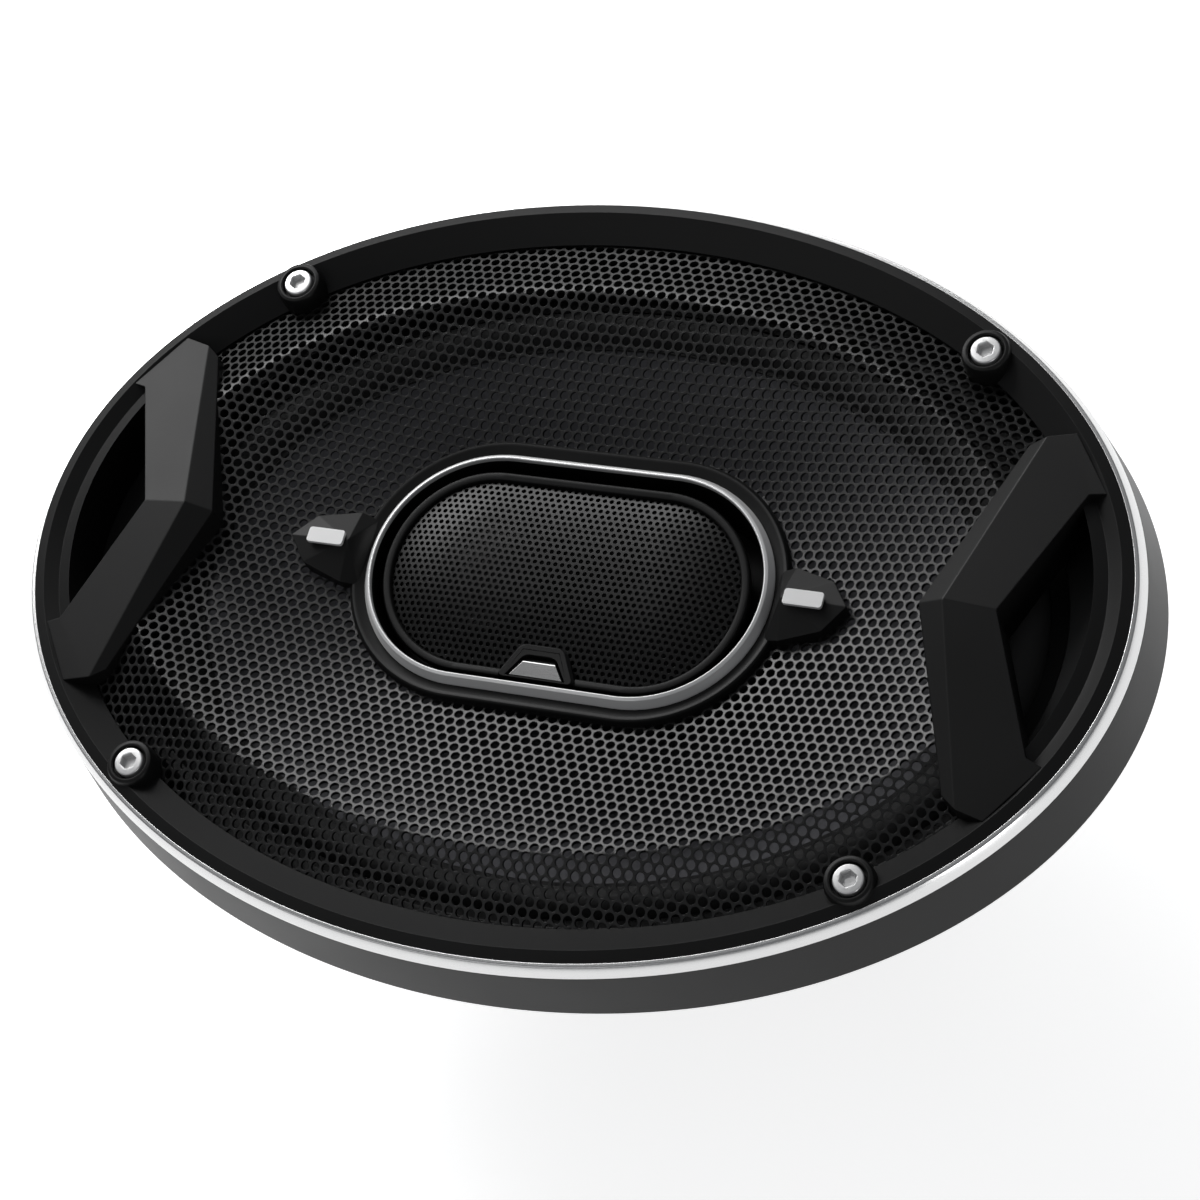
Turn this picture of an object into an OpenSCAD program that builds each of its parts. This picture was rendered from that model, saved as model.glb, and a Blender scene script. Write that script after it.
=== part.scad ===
// Coaxial oval car speaker with a swivelling centre pod. All sizes in mm.
// The origin is the centre of the panel plane. +Z points out of the front, +X is the long axis.

/* [Lip oval] */
// Length of the front frame's lip, edge to edge
lip_length = 246; // [230:1:262]
// Width of the front frame's lip, edge to edge
lip_width = 176.7; // [166:0.1:188]
// Height of the lip's outer edge above the panel
lip_height = 17.2; // [14:0.1:22]

/* [Front frame] */
// How far the side wall flares beyond the lip edge at the panel
wall_flare = 3.65; // [2:0.05:5]
// Thickness of the side wall
wall_thickness = 2.05; // [1.6:0.05:3]
// How far the silver trim flares beyond the lip edge
trim_flare = 1.63; // [0.8:0.01:2.5]
// Height of the silver trim band
trim_height = 2.6; // [1.5:0.1:4]
// Width of the lip's top face
lip_face = 3.08; // [2:0.01:5]
// Rise of the lip's top face towards its inner edge
lip_rise = 1.14; // [0:0.01:2]
// Distance from the lip edge to the foot of the inner slope
slope_inset = 9.03; // [7:0.01:12]
// Drop of the inner slope's foot below the lip's outer edge
slope_drop = 2.96; // [1:0.01:5]
// Distance from the lip edge to the gutter's lowest line, beside each side opening
gutter_inset = 6.0; // [5:0.1:7]
// Distance from the lip edge to the rim of each side opening
opening_inset = 8.8; // [8:0.1:10]

/* [Chevron bridges] */
// Half length of each side opening along the frame
opening_half_width = 29; // [24:0.5:33]
// From the lip's end in to the chevron's inner point
chevron_foot_inset = 42.8; // [39:0.1:47]
// From the lip's end in to the chevron's ridge
chevron_ridge_inset = 37.2; // [33:0.1:41]
// From the lip's end in to the chevron's outer point
chevron_back_inset = 26.4; // [24:0.1:30]
// Height of the ridge point above the lip edge
chevron_ridge_rise = 6.9; // [3:0.1:9]
// Height of the back point above the lip edge
chevron_back_rise = 5.0; // [2:0.1:7]
// Height of the foot above the lip edge
chevron_foot_rise = 3.6; // [1:0.1:5]

/* [Grille] */
// Distance from the lip edge to the grille's crease
crease_inset = 23.4; // [18:0.1:28]
// Height of the crease above the lip's outer edge
crease_rise = 1.75; // [0:0.05:4]
// Thickness of the grille sheet
grille_sheet = 0.8; // [0.6:0.1:1.2]
// Height of the grille's inner edge above the panel
grille_inner_height = 8.2; // [6:0.1:10]

/* [Pod surround] */
// Half length of the pod's straight sides
pod_straight = 18.6; // [15:0.1:22]
// Width of the black bezel outside the bright ring
bezel_width = 3.5; // [2.5:0.1:5]
// Width of the bright ring at its foot
ring_width = 2; // [1.6:0.1:2.4]
// Room between the pod and the bright ring
pod_room = 2.6; // [2.3:0.1:3.2]
// Height of the silver ring's crest above the panel
ring_crest = 11.75; // [10.5:0.05:13]
// Depth of the bezel's cup below the panel
cup_depth = 9; // [8:0.5:12]
// Length of an ear beyond the bright ring
ear_length = 17.5; // [14:0.1:21]
// Height of each ear's ridge above the panel
ear_ridge = 15; // [13:0.1:17]
// Half width of each ear where it meets the bezel
ear_half_width = 8.5; // [6:0.1:10]
// Length of each plain badge plate
badge_length = 8.6; // [5:0.1:10]
// Width of each plain badge plate
badge_width = 3.6; // [2:0.1:5]

/* [Centre pod] */
// Outer half width of the pod's rim
pod_radius = 22.9; // [21:0.1:23.1]
// Height of the pod's rim above the swivel centre
rim_height = 14; // [12:0.1:15]
// Height of the pod's domed grille above its rim
dome_crown = 3; // [1:0.1:5]
// Tilt of the pod at rest, towards -Y
pod_rest_tilt = 5; // [-6:0.5:6]
// Height of the swivel centre above the panel, negative when below it
pivot_height = -2.8; // [-4:0.1:-2]
// Radius of the swivel ball
ball_radius = 6; // [5:0.1:6.5]
// Radius of the larger high-frequency dome
large_dome_radius = 12.5; // [9:0.1:13]
// Radius of the smaller high-frequency dome
small_dome_radius = 6.5; // [4:0.1:9]

/* [Level button] */
// Width of the button's inner end
button_inner_width = 6.4; // [5:0.1:7]
// Width of the button's outer end
button_outer_width = 12.8; // [11:0.1:13.5]
// Travel of the button
button_travel = 1.2; // [0.6:0.1:1.2]

/* [Screws] */
// From the lip's edge in to the screws' centres
screw_inset = 6.64; // [6:0.01:7.5]
// Angle of the screws round the oval, from the long axis
screw_angle = 46.53; // [45:0.01:48]
// Radius of the screw shanks
screw_radius = 1.9; // [1.5:0.05:2.1]
// Radius of the screw heads
screw_head_radius = 3.2; // [2.8:0.05:3.5]
// How far the screws stand out below the panel
screw_reach = 14; // [8:0.5:25]
// Radius of the clearance holes for the screws
screw_hole = 2.25; // [2.2:0.05:2.4]

/* [Basket] */
// Distance from the lip edge to the basket flange's edge
flange_inset = 5.5; // [4:0.1:6]
// Thickness of the basket's sheet steel
basket_sheet = 1.5; // [1:0.1:2]
// Distance from the lip edge to the basket's upper wall
basket_wall_inset = 14.5; // [13:0.1:15]
// Width of the land that the surround sits on
land_width = 5.5; // [4.5:0.1:6.5]
// Depth of the surround's land below the panel
land_depth = 4; // [3:0.1:6]
// Depth of the skirt's bottom edge below the panel
skirt_depth = 16; // [12:0.5:20]
// Outer radius of the basket's cup
basket_cup_radius = 50; // [48:0.5:52]
// Depth of the spider's shelf below the panel
spider_depth = 42; // [40:0.5:44]
// Number of basket legs
leg_count = 6; // [6:2:8]
// Width of each basket leg
leg_width = 14; // [10:0.5:16]

/* [Magnet] */
// Depth of the whole speaker below the panel
mounting_depth = 84; // [82:0.5:90]
// Radius of the ferrite magnet
magnet_radius = 45; // [42:0.5:47]
// Thickness of the top plate and of the back plate
plate_thickness = 6; // [5:0.5:7]
// Depth of the basket's base below the panel
base_depth = 55; // [54:0.5:58]
// Radius of the pole
pole_radius = 12.5; // [12:0.1:12.6]
// Radius of the vent through the pole
vent_radius = 4; // [3:0.1:5]
// Radius of the post that carries the pod
post_radius = 7; // [5:0.1:8]

/* [Cone] */
// Width of the surround's half roll
roll_width = 10; // [8:0.1:11]
// Thickness of the surround
surround_sheet = 0.7; // [0.5:0.05:1]
// Radius of the cone's neck
neck_radius = 13.4; // [13.35:0.05:13.6]
// Depth of the neck below the panel
neck_depth = 33.5; // [31:0.5:36]
// Thickness of the cone
cone_sheet = 1; // [0.8:0.1:1.4]
// Inner radius of the voice-coil former
former_bore = 13; // [12.9:0.05:13.1]

/* [Fits] */
// Gap between parts that are assembled and then stay put
assembly_gap = 0.1; // [0.05:0.05:0.2]
// Gap around the grille's cut-outs
grille_gap = 0.3; // [0.2:0.05:0.5]
// Radial running clearance inside the swivel
swivel_clearance = 0.06; // [0.03:0.01:0.1]
// Gap around the level button
button_gap = 0.35; // [0.3:0.05:0.5]

/* [Hidden] */
$fn = 144;
steps = 72;
frame_steps = 96;
eps = 0.01;
far = 40;

// The lip is an ellipse. Rings behind the panel share one ratio of width to length,
// a little narrower than the lip's.
half_length = lip_length / 2;
half_width = lip_width / 2;
rear_narrowing = 0.97453;
rear_ratio = rear_narrowing * half_width / half_length;

// Heights on the front frame
lip_inner_height = lip_height + lip_rise;
slope_foot_height = lip_height - slope_drop;
slope_edge = 0.4;
trim_seat = 0.75;
trim_foot_height = lip_height - trim_height;
gutter_height = lip_height - 0.6;
opening_rim_height = lip_height + 0.4;
opening_foot = 3.2;
opening_cover = 4.5;

// Chevron corners on the lip
chevron_foot_x = half_length - chevron_foot_inset;
chevron_ridge_x = half_length - chevron_ridge_inset;
chevron_back_x = half_length - chevron_back_inset;
arm_lip_rise = 1;
arm_void_rise = 2;
arm_base = 8;
arm_end_inner = [half_length - 26, half_width - 46.85];
arm_end_outer = [half_length - 20, half_width - 45.35];
arm_lip_outer = [half_length - 11, opening_half_width + 1];
arm_void_outer = [half_length - 14.4, opening_half_width];
arm_foot_end = [half_length - 29.3, half_width - 49.35];

// Screws and their bosses
screw_x = (half_length - screw_inset) * cos(screw_angle);
screw_y = (half_width - screw_inset) * sin(screw_angle);
boss_radius = 5.25;
boss_top = lip_height + 2.1;
boss_recess = 3.75;
head_seat = lip_height + 0.2;
head_height = 2.2;
socket_radius = 1.75;
shank_step = 0.5;
flange_bottom = 1.5;
flange_top = flange_bottom + basket_sheet;

// Rings round the pod, and the ears beyond them
ring_bore = pod_radius + pod_room;
ring_radius = ring_bore + ring_width;
bezel_radius = ring_radius + bezel_width;
ring_end = pod_straight + ring_radius;
ear_tip_x = ring_end + ear_length;
badge_middle = ring_end + 8.5;

// Grille rows
grille_edge_inset = 7.0;
grille_foot_height = slope_foot_height - slope_edge - 0.2;
crease_height = lip_height + crease_rise;
grille_slope = (crease_height - grille_foot_height) / (crease_inset - slope_inset);
grille_edge_height = grille_foot_height - grille_slope * (slope_inset - grille_edge_inset);
grille_bore = bezel_radius - 1;

// Basket
skirt_inset = basket_wall_inset + land_width;
land_inset = skirt_inset + basket_sheet;
shelf_radius = basket_cup_radius - 7;
base_radius = basket_cup_radius - 4;
leg_length_x = half_length - land_inset;
leg_length_y = leg_length_x * rear_ratio;

// Motor
top_plate_bottom = base_depth + plate_thickness;
back_plate_top = mounting_depth - plate_thickness;
former_wall = 0.3;
winding_wall = 0.7;
winding_half_height = 5;
top_plate_bore = former_bore + former_wall + winding_wall + 0.5;
coil_middle = base_depth + plate_thickness / 2;

// Cone and surround
roll_middle = land_inset + roll_width / 2 - 0.5;
cone_inset = roll_middle + roll_width / 2;
cone_land = 2.2;

// Where the leads' eyelets sit: a share of the way from the cone's land to its neck
lead_x = 10;
lead_share = 0.543;
cone_top = -land_depth - 0.02;
cone_fall = -neck_depth - cone_top;
cone_land_y = (half_length - cone_inset - cone_land) * rear_ratio;
lead_y = (neck_radius - cone_land_y) * lead_share + cone_land_y;
lead_z = cone_top + cone_fall * 0.6075 - cone_sheet * 1.2;
eyelet_drop = 3.27;

// Swivel
liner_bore = ball_radius + swivel_clearance;
liner_radius = liner_bore + 1.14;
socket_bore = liner_radius + swivel_clearance;
socket_radius_out = socket_bore + 2;
socket_mouth = 3.5;
stud_foot = 12;

// Pod shell heights, measured from the swivel centre
shell_top = rim_height - 1.9;
shell_floor = 2;
driver_height = rim_height - 5;
dome_edge = pod_radius - 2.2;
large_dome_x = 0.1 - pod_straight;
small_dome_x = pod_straight - 0.6;

// Button corners, measured from the swivel centre
button_inner_y = 5.1 - pod_radius;
button_outer_y = 0.6 - pod_radius;
bay_inner_y = 8.1 - pod_radius;
bay_inner_width = 10.5;
bay_outer_width = 18.4;
bay_top = rim_height + 1;

black_plastic = [0.05, 0.05, 0.055];
silver = [0.82, 0.83, 0.85];
steel_black = [0.09, 0.09, 0.1];
rubber_black = [0.04, 0.04, 0.04];

// Sweeps a profile round the rear oval. The profile's x is the distance outside the lip edge.
module rear_ring() {
    scale([1, rear_ratio, 1])
        rotate_extrude()
            translate([half_length, 0])
                children();
}

// Sweeps a profile round the pod's straight-sided outline
module pod_ring_sweep() {
    for (flip_x = [0, 1])
        mirror([flip_x, 0, 0])
            translate([pod_straight, 0, 0])
                rotate([0, 0, -90])
                    rotate_extrude(angle = 180)
                        children();
    for (flip_y = [0, 1])
        mirror([0, flip_y, 0])
            translate([-pod_straight, 0, 0])
                rotate([90, 0, 90])
                    linear_extrude(height = 2 * pod_straight)
                        children();
}

// Places its children at the four screws
module at_screws() {
    for (side_x = [-1, 1])
        for (side_y_sign = [-1, 1])
            translate([side_x * screw_x, side_y_sign * screw_y, 0])
                children();
}

// Copies its children to both ends of the speaker
module both_ends() {
    for (flip_x = [0, 1])
        mirror([flip_x, 0, 0])
            children();
}

// Places the pod's parts: their own origin is the swivel centre
module in_pod() {
    translate([0, 0, pivot_height])
        rotate([pod_rest_tilt, 0, 0])
            children();
}

// One point of the lip oval, grown by a distance
function oval_point(grow, z, angle) =
    [(half_length + grow) * cos(angle), (half_width + grow) * sin(angle), z];

// One row of points round the lip oval, inset from the lip edge
function oval_row(inset, z) =
    [for (i = [0 : steps - 1]) oval_point(-inset, z, i * 360 / steps)];

// One row of points round the rear oval, inset from the lip edge
function rear_row(inset, z) = [for (i = [0 : steps - 1])
    [(half_length - inset) * cos(i * 360 / steps),
     (half_length - inset) * rear_ratio * sin(i * 360 / steps), z]];

// One row of points round a circle
function circle_row(radius, z) = [for (i = [0 : steps - 1])
    [radius * cos(i * 360 / steps), radius * sin(i * 360 / steps), z]];

// Direction from the centre to one point of the crease
function crease_angle(i) = atan2((half_width - crease_inset) * sin(i * 360 / steps),
    (half_length - crease_inset) * cos(i * 360 / steps));

// Distance from the centre to the pod outline in one direction
function pod_reach(angle, radius) = let (c = abs(cos(angle)), s = abs(sin(angle)))
    radius * c <= pod_straight * s ? radius / s
    : pod_straight * c + sqrt(radius * radius - pow(pod_straight * s, 2));

// One row of points round the pod outline
function pod_row(radius, z) = [for (i = [0 : steps - 1])
    let (angle = crease_angle(i), reach = pod_reach(angle, radius))
    [reach * cos(angle), reach * sin(angle), z]];

// A row part of the way from one row to another
function between_rows(first, second, part) = first + (second - first) * part;

// Joins closed rows of points into a ring-shaped solid
module loft_ring(rows) {
    count = len(rows);
    around = len(rows[0]);
    polyhedron(
        points = [for (row = rows) for (point = row) point],
        faces = [for (k = [0 : count - 1]) for (i = [0 : around - 1])
            let (next_k = (k + 1) % count, next_i = (i + 1) % around)
            for (half = [0, 1])
                half == 0
                    ? [k * around + i, next_k * around + i, next_k * around + next_i]
                    : [k * around + i, next_k * around + next_i, k * around + next_i]]);
}

// Section of the front frame, with x measured out from the lip edge
function frame_section(inner_points) = concat(
    [[wall_flare, 0], [trim_flare, trim_foot_height - assembly_gap],
     [0.4, trim_foot_height - assembly_gap], [-trim_seat, lip_height - 0.7],
     [-trim_seat, lip_height + trim_seat * lip_rise / lip_face], [-lip_face, lip_inner_height]],
    inner_points,
    [[-1.9, lip_height - 1.6], [-0.6, lip_height - 4.7], [wall_flare - wall_thickness, 0]]);

// Section where the slope runs down to the grille
slope_section = frame_section([[-5, lip_inner_height - 1.32], [-slope_inset, slope_foot_height],
    [-slope_inset, slope_foot_height - slope_edge], [-6.6, slope_foot_height - slope_edge],
    [-3, lip_height - 1]]);

// Section where the gutter runs beside a side opening
gutter_section = frame_section([[-gutter_inset, gutter_height], [-opening_inset, opening_rim_height],
    [-opening_inset, opening_foot], [-opening_inset + 1.6, opening_foot],
    [-opening_inset + 1.8, lip_height - 1.8]]);

// True where a point of the frame lies beside a side opening
function beside_opening(angle) =
    abs((half_width - opening_inset) * sin(angle)) < opening_half_width + opening_cover;

// One row of points round the front frame
function frame_row(k) = [for (i = [0 : frame_steps - 1])
    let (angle = i * 360 / frame_steps,
        point = beside_opening(angle) ? gutter_section[k] : slope_section[k])
    oval_point(point.x, point.y, angle)];

// One row of points round the trim
function trim_row(point) = [for (i = [0 : frame_steps - 1])
    oval_point(point.x, point.y, i * 360 / frame_steps)];

// A corner of the chevron with its mirror image across the long axis
function chevron_corner(place, rise, side) = [place.x, side * place.y, lip_height + rise];

// The chevron bridge at the +X end
module chevron() {
    outline = [
        chevron_corner(arm_foot_end, arm_lip_rise, -1),
        chevron_corner(arm_end_inner, arm_lip_rise + 0.2, -1),
        chevron_corner(arm_end_outer, arm_lip_rise, -1),
        chevron_corner(arm_lip_outer, arm_lip_rise, -1),
        chevron_corner(arm_void_outer, arm_void_rise, -1),
        [chevron_back_x, 0, lip_height + chevron_back_rise],
        chevron_corner(arm_void_outer, arm_void_rise, 1),
        chevron_corner(arm_lip_outer, arm_lip_rise, 1),
        chevron_corner(arm_end_outer, arm_lip_rise, 1),
        chevron_corner(arm_end_inner, arm_lip_rise + 0.2, 1),
        chevron_corner(arm_foot_end, arm_lip_rise, 1),
        [chevron_foot_x, 0, lip_height + chevron_foot_rise]];
    ridge = [[chevron_ridge_x, 0, lip_height + chevron_ridge_rise]];
    sides = len(outline);
    under = [[11, 0, 1], [11, 1, 4], [11, 4, 5], [4, 1, 2], [4, 2, 3],
        [11, 9, 10], [11, 6, 9], [11, 5, 6], [6, 8, 9], [6, 7, 8]];
    polyhedron(
        points = concat(outline, ridge, [for (p = outline) [p.x, p.y, arm_base]]),
        faces = concat(
            [[11, 10, 9], [11, 9, 12], [12, 9, 6], [12, 6, 5], [6, 9, 8], [6, 8, 7],
             [11, 1, 0], [11, 12, 1], [12, 4, 1], [12, 5, 4], [4, 2, 1], [4, 3, 2]],
            [for (face = under) [for (j = face) j + sides + 1]],
            [for (j = [0 : sides - 1]) let (k = (j + 1) % sides) [j, k, k + sides + 1, j + sides + 1]]));
}

// Outline that the grille leaves free for one chevron and its side opening
module chevron_clearance() {
    linear_extrude(height = far)
        for (flip_y = [0, 1])
            mirror([0, flip_y])
                polygon([[chevron_foot_x - grille_gap * 1.1, -eps],
                    [arm_foot_end.x - grille_gap, arm_foot_end.y + 0.1],
                    [arm_end_inner.x - grille_gap, arm_end_inner.y + grille_gap],
                    [arm_end_outer.x, arm_end_outer.y + 4],
                    [half_length, arm_end_outer.y + 4],
                    [half_length, -eps]]);
}

// A grille frame: side wall, lip, slope, side openings, chevron bridges and screw bosses
module grille_frame() {
    color(black_plastic)
        difference() {
            union() {
                loft_ring([for (k = [0 : len(slope_section) - 1]) frame_row(k)]);
                both_ends()
                    chevron();
                at_screws()
                    translate([0, 0, flange_top + assembly_gap])
                        cylinder(h = boss_top - flange_top - assembly_gap, r = boss_radius);
            }
            at_screws() {
                cylinder(h = far, r = screw_hole);
                translate([0, 0, head_seat])
                    cylinder(h = far, r = boss_recess);
            }
        }
}

// The bright band round the outside of the lip
module outer_trim() {
    color(silver)
        loft_ring([for (point = [[trim_flare, trim_foot_height], [0.5, trim_foot_height],
                [-trim_seat + assembly_gap, lip_height - 0.7],
                [-trim_seat + assembly_gap, lip_height + 0.15], [0, lip_height]])
            trim_row(point)]);
}

// The pierced grille, drawn here as a plain thin sheet
module grille_mesh() {
    outer = oval_row(grille_edge_inset, 0);
    crease = oval_row(crease_inset, 0);
    inner = pod_row(grille_bore, 0);
    dip = crease_height - grille_inner_height;
    down = [for (i = [0 : steps - 1]) [0, 0, 1]];
    color(steel_black)
        difference() {
            loft_ring([
                outer + down * grille_edge_height,
                crease + down * crease_height,
                between_rows(crease, inner, 0.375) + down * (crease_height - dip * 0.38),
                between_rows(crease, inner, 0.7) + down * (crease_height - dip * 0.74),
                inner + down * grille_inner_height,
                inner + down * (grille_inner_height - grille_sheet),
                between_rows(crease, inner, 0.7) + down * (crease_height - dip * 0.74 - grille_sheet),
                between_rows(crease, inner, 0.375) + down * (crease_height - dip * 0.38 - grille_sheet),
                crease + down * (crease_height - grille_sheet),
                outer + down * (grille_edge_height - grille_sheet)]);
            both_ends()
                chevron_clearance();
            both_ends()
                linear_extrude(height = far)
                    polygon([[ring_end - 1.1, -10], [ring_end + 4.2, -ear_half_width - 0.8],
                        [ear_tip_x - 3.8, -6.2], [ear_tip_x + 0.5, 0], [ear_tip_x - 3.8, 6.2],
                        [ring_end + 4.2, ear_half_width + 0.8], [ring_end - 1.1, 10]]);
            at_screws()
                cylinder(h = far, r = boss_radius + grille_gap);
        }
}

// One ear of the bezel, at the +X end
module bezel_ear() {
    tops = [
        [ring_end + 0.4, -8, ring_crest - 2.15],
        [ring_end + 4, -ear_half_width, ring_crest - 0.25],
        [ear_tip_x - 4.3, -5.7, ear_ridge - 1.9],
        [ear_tip_x, 0, ear_ridge - 0.9],
        [ear_tip_x - 4.3, 5.7, ear_ridge - 1.9],
        [ring_end + 4, ear_half_width, ring_crest - 0.25],
        [ring_end + 0.4, 8, ring_crest - 2.15]];
    peak = [[ring_end + 3.4, 0, ear_ridge]];
    sides = len(tops);
    polyhedron(
        points = concat(tops, peak, [for (p = tops) [p.x, p.y, grille_inner_height + 0.2]]),
        faces = concat(
            [for (j = [0 : sides - 1]) [sides, (j + 1) % sides, j]],
            [[for (j = [0 : sides - 1]) j + sides + 1]],
            [for (j = [0 : sides - 1]) let (k = (j + 1) % sides) [j, k, k + sides + 1, j + sides + 1]]));
}

// The pod's black bezel with its ears and the cup that the pod swings in
module pod_bezel() {
    seat = grille_inner_height + 0.2;
    wall = ring_bore + 1.5;
    color(black_plastic)
        difference() {
            union() {
                pod_ring_sweep()
                    polygon([[bezel_radius, seat], [bezel_radius - 0.3, seat + 1.1],
                        [bezel_radius - 1.3, seat + 1.7], [bezel_radius - 2.7, seat + 1.2],
                        [ring_radius + assembly_gap, seat + 0.7], [wall + assembly_gap, seat],
                        [wall - 0.5, seat - 1.1], [ring_bore + 0.1, seat - 1.1],
                        [ring_bore + 0.1, 1.5 - cup_depth], [0, 1.5 - cup_depth], [0, -cup_depth],
                        [wall, -cup_depth], [wall + 1.2, seat - 2], [bezel_radius - 1.6, seat]]);
                both_ends()
                    bezel_ear();
            }
            translate([0, 0, -cup_depth - 1])
                cylinder(h = 4, r = socket_radius_out + 1.5);
        }
}

// The bright ring round the pod
module pod_ring() {
    seat = grille_inner_height - 0.9 + assembly_gap;
    color(silver)
        pod_ring_sweep()
            polygon([[ring_radius, ring_crest - 2.5], [ring_radius - 1.0, ring_crest - 0.15],
                [ring_radius - 1.5, ring_crest], [ring_bore + 0.1, ring_crest - 0.25],
                [ring_bore, seat], [ring_bore + 0.9, seat], [ring_bore + 1.5, seat + 1.1]]);
}

// Two plain raised plates, one on each ear
module badge_plates() {
    color(silver)
        for (side = [-1, 1])
            translate([side * badge_middle, 0, ear_ridge + 0.35])
                cube([badge_length, badge_width, 1], center = true);
}

// The four fixing screws
module screws() {
    color(silver)
        at_screws()
            difference() {
                union() {
                    translate([0, 0, head_seat])
                        cylinder(h = head_height - 0.6, r = screw_head_radius);
                    translate([0, 0, head_seat + head_height - 0.6])
                        cylinder(h = 0.6, r1 = screw_head_radius, r2 = screw_head_radius - 0.7);
                    translate([0, 0, -shank_step])
                        cylinder(h = head_seat + shank_step + eps, r = screw_hole - assembly_gap);
                    translate([0, 0, -screw_reach])
                        cylinder(h = screw_reach - shank_step + eps, r = screw_radius);
                }
                translate([0, 0, head_seat + head_height - 1.4])
                    cylinder(h = 2, r = socket_radius, $fn = 6);
            }
}

// The basket's rim: flange, upper wall, surround land and skirt
module basket_rim() {
    color(steel_black)
        difference() {
            union() {
                rear_ring()
                    polygon([[-flange_inset, flange_bottom], [-flange_inset, flange_top],
                        [-basket_wall_inset - basket_sheet, flange_top],
                        [-basket_wall_inset - basket_sheet, -land_depth],
                        [-land_inset, -land_depth], [-land_inset, -skirt_depth],
                        [-skirt_inset, -skirt_depth], [-skirt_inset, -land_depth - basket_sheet],
                        [-basket_wall_inset, -land_depth - basket_sheet],
                        [-basket_wall_inset, flange_bottom]]);
                at_screws()
                    translate([0, 0, flange_bottom])
                        cylinder(h = basket_sheet, r = 6.8);
            }
            at_screws()
                cylinder(h = far, r = screw_hole);
        }
}

// Distance from the centre to the skirt in one direction
function skirt_reach(angle) =
    1 / sqrt(pow(cos(angle) / leg_length_x, 2) + pow(sin(angle) / leg_length_y, 2));

// The basket's sloping legs
module basket_legs() {
    shelf = -spider_depth;
    color(steel_black)
        difference() {
            for (i = [0 : leg_count - 1]) {
                angle = i * 360 / leg_count;
                reach = skirt_reach(angle) + 0.6;
                rotate([0, 0, angle])
                    translate([0, leg_width / 2, 0])
                        rotate([90, 0, 0])
                            linear_extrude(height = leg_width)
                                polygon([[basket_cup_radius - 2, shelf - basket_sheet],
                                    [basket_cup_radius - 2, shelf],
                                    [reach - 1.2, -skirt_depth - 2], [reach - 1.2, -skirt_depth - 0.02],
                                    [reach + 1.2, -skirt_depth - 0.02], [reach + 1.2, -skirt_depth - 3.2],
                                    [basket_cup_radius + 2, shelf - basket_sheet]]);
            }
            translate([0, 0, -spider_depth - 5])
                cylinder(h = 10, r = basket_cup_radius + 0.02);
        }
}

// The basket's round cup with its spider shelf and vent windows
module basket_cup() {
    color(steel_black)
        difference() {
            rotate_extrude()
                polygon([[top_plate_bore + 1, -base_depth], [base_radius, -base_depth],
                    [basket_cup_radius - 2, -spider_depth - basket_sheet],
                    [basket_cup_radius, -spider_depth - basket_sheet],
                    [basket_cup_radius, -spider_depth], [shelf_radius, -spider_depth],
                    [shelf_radius, -spider_depth - basket_sheet],
                    [base_radius - 1.5, -base_depth + basket_sheet],
                    [top_plate_bore + 1, -base_depth + basket_sheet]]);
            for (i = [0 : 7])
                rotate([0, 0, 22.5 + i * 45])
                    translate([base_radius - 6, -6, -base_depth + 3])
                        cube([12, 12, base_depth - spider_depth - 6.5]);
        }
}

// The foam gasket under the flange, inside the screws
module panel_gasket() {
    outer = flange_inset + 4.1;
    color(rubber_black)
        rear_ring()
            polygon([[-outer, 0], [-outer, flange_bottom],
                [-basket_wall_inset + 0.3, flange_bottom], [-basket_wall_inset + 0.3, 0]]);
}

// The ring that holds the surround on its land
module clamp_ring() {
    low = surround_sheet - land_depth;
    color(black_plastic)
        rear_ring()
            polygon([[-basket_wall_inset - basket_sheet - 0.2, low],
                [-basket_wall_inset - basket_sheet - 0.2, low + 1.8],
                [-land_inset + 1.1, low + 1.8], [-land_inset + 1.1, low]]);
}

// The half-roll surround
module surround() {
    outer_land = basket_wall_inset + basket_sheet + 0.2;
    roll = roll_width / 2;
    half = surround_sheet / 2;
    middle = half - land_depth;
    color(rubber_black)
        rear_ring()
            polygon(concat(
                [[-outer_land, -land_depth + surround_sheet]],
                [for (a = [0 : 20 : 180])
                    [(roll + half) * cos(a) - roll_middle, middle + (roll + half) * sin(a)]],
                [[-cone_inset - cone_land + 0.2, -land_depth + surround_sheet],
                 [-cone_inset - cone_land + 0.2, -land_depth],
                 [-cone_inset + half, -land_depth]],
                [for (a = [180 : -20 : 0])
                    [(roll - half) * cos(a) - roll_middle, middle + (roll - half) * sin(a)]],
                [[-roll_middle + roll - half, -land_depth], [-outer_land, -land_depth]]));
}

// The corrugated spider
module spider() {
    inner = former_bore + former_wall + 0.05;
    start = inner + 3.5;
    end = shelf_radius - 1;
    level = -spider_depth + 0.02;
    wave = 1.4;
    sheet = 0.5;
    color([0.75, 0.62, 0.3])
        rotate_extrude()
            polygon(concat(
                [[inner, level], [start, level]],
                [for (i = [1 : 19]) [start + (end - start) * i / 20, level + wave * sin(i * 90)]],
                [[end, level], [end + 5.8, level], [end + 5.8, level + sheet], [end, level + sheet]],
                [for (i = [19 : -1 : 1])
                    [start + (end - start) * i / 20, level + sheet + wave * sin(i * 90)]],
                [[start, level + sheet], [inner, level + sheet]]));
}

// The steel plate on the front of the magnet
module top_plate() {
    color([0.6, 0.6, 0.62])
        translate([0, 0, -top_plate_bottom])
            difference() {
                cylinder(h = plate_thickness, r = magnet_radius - 2);
                translate([0, 0, -1])
                    cylinder(h = plate_thickness + 2, r = top_plate_bore);
            }
}

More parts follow.
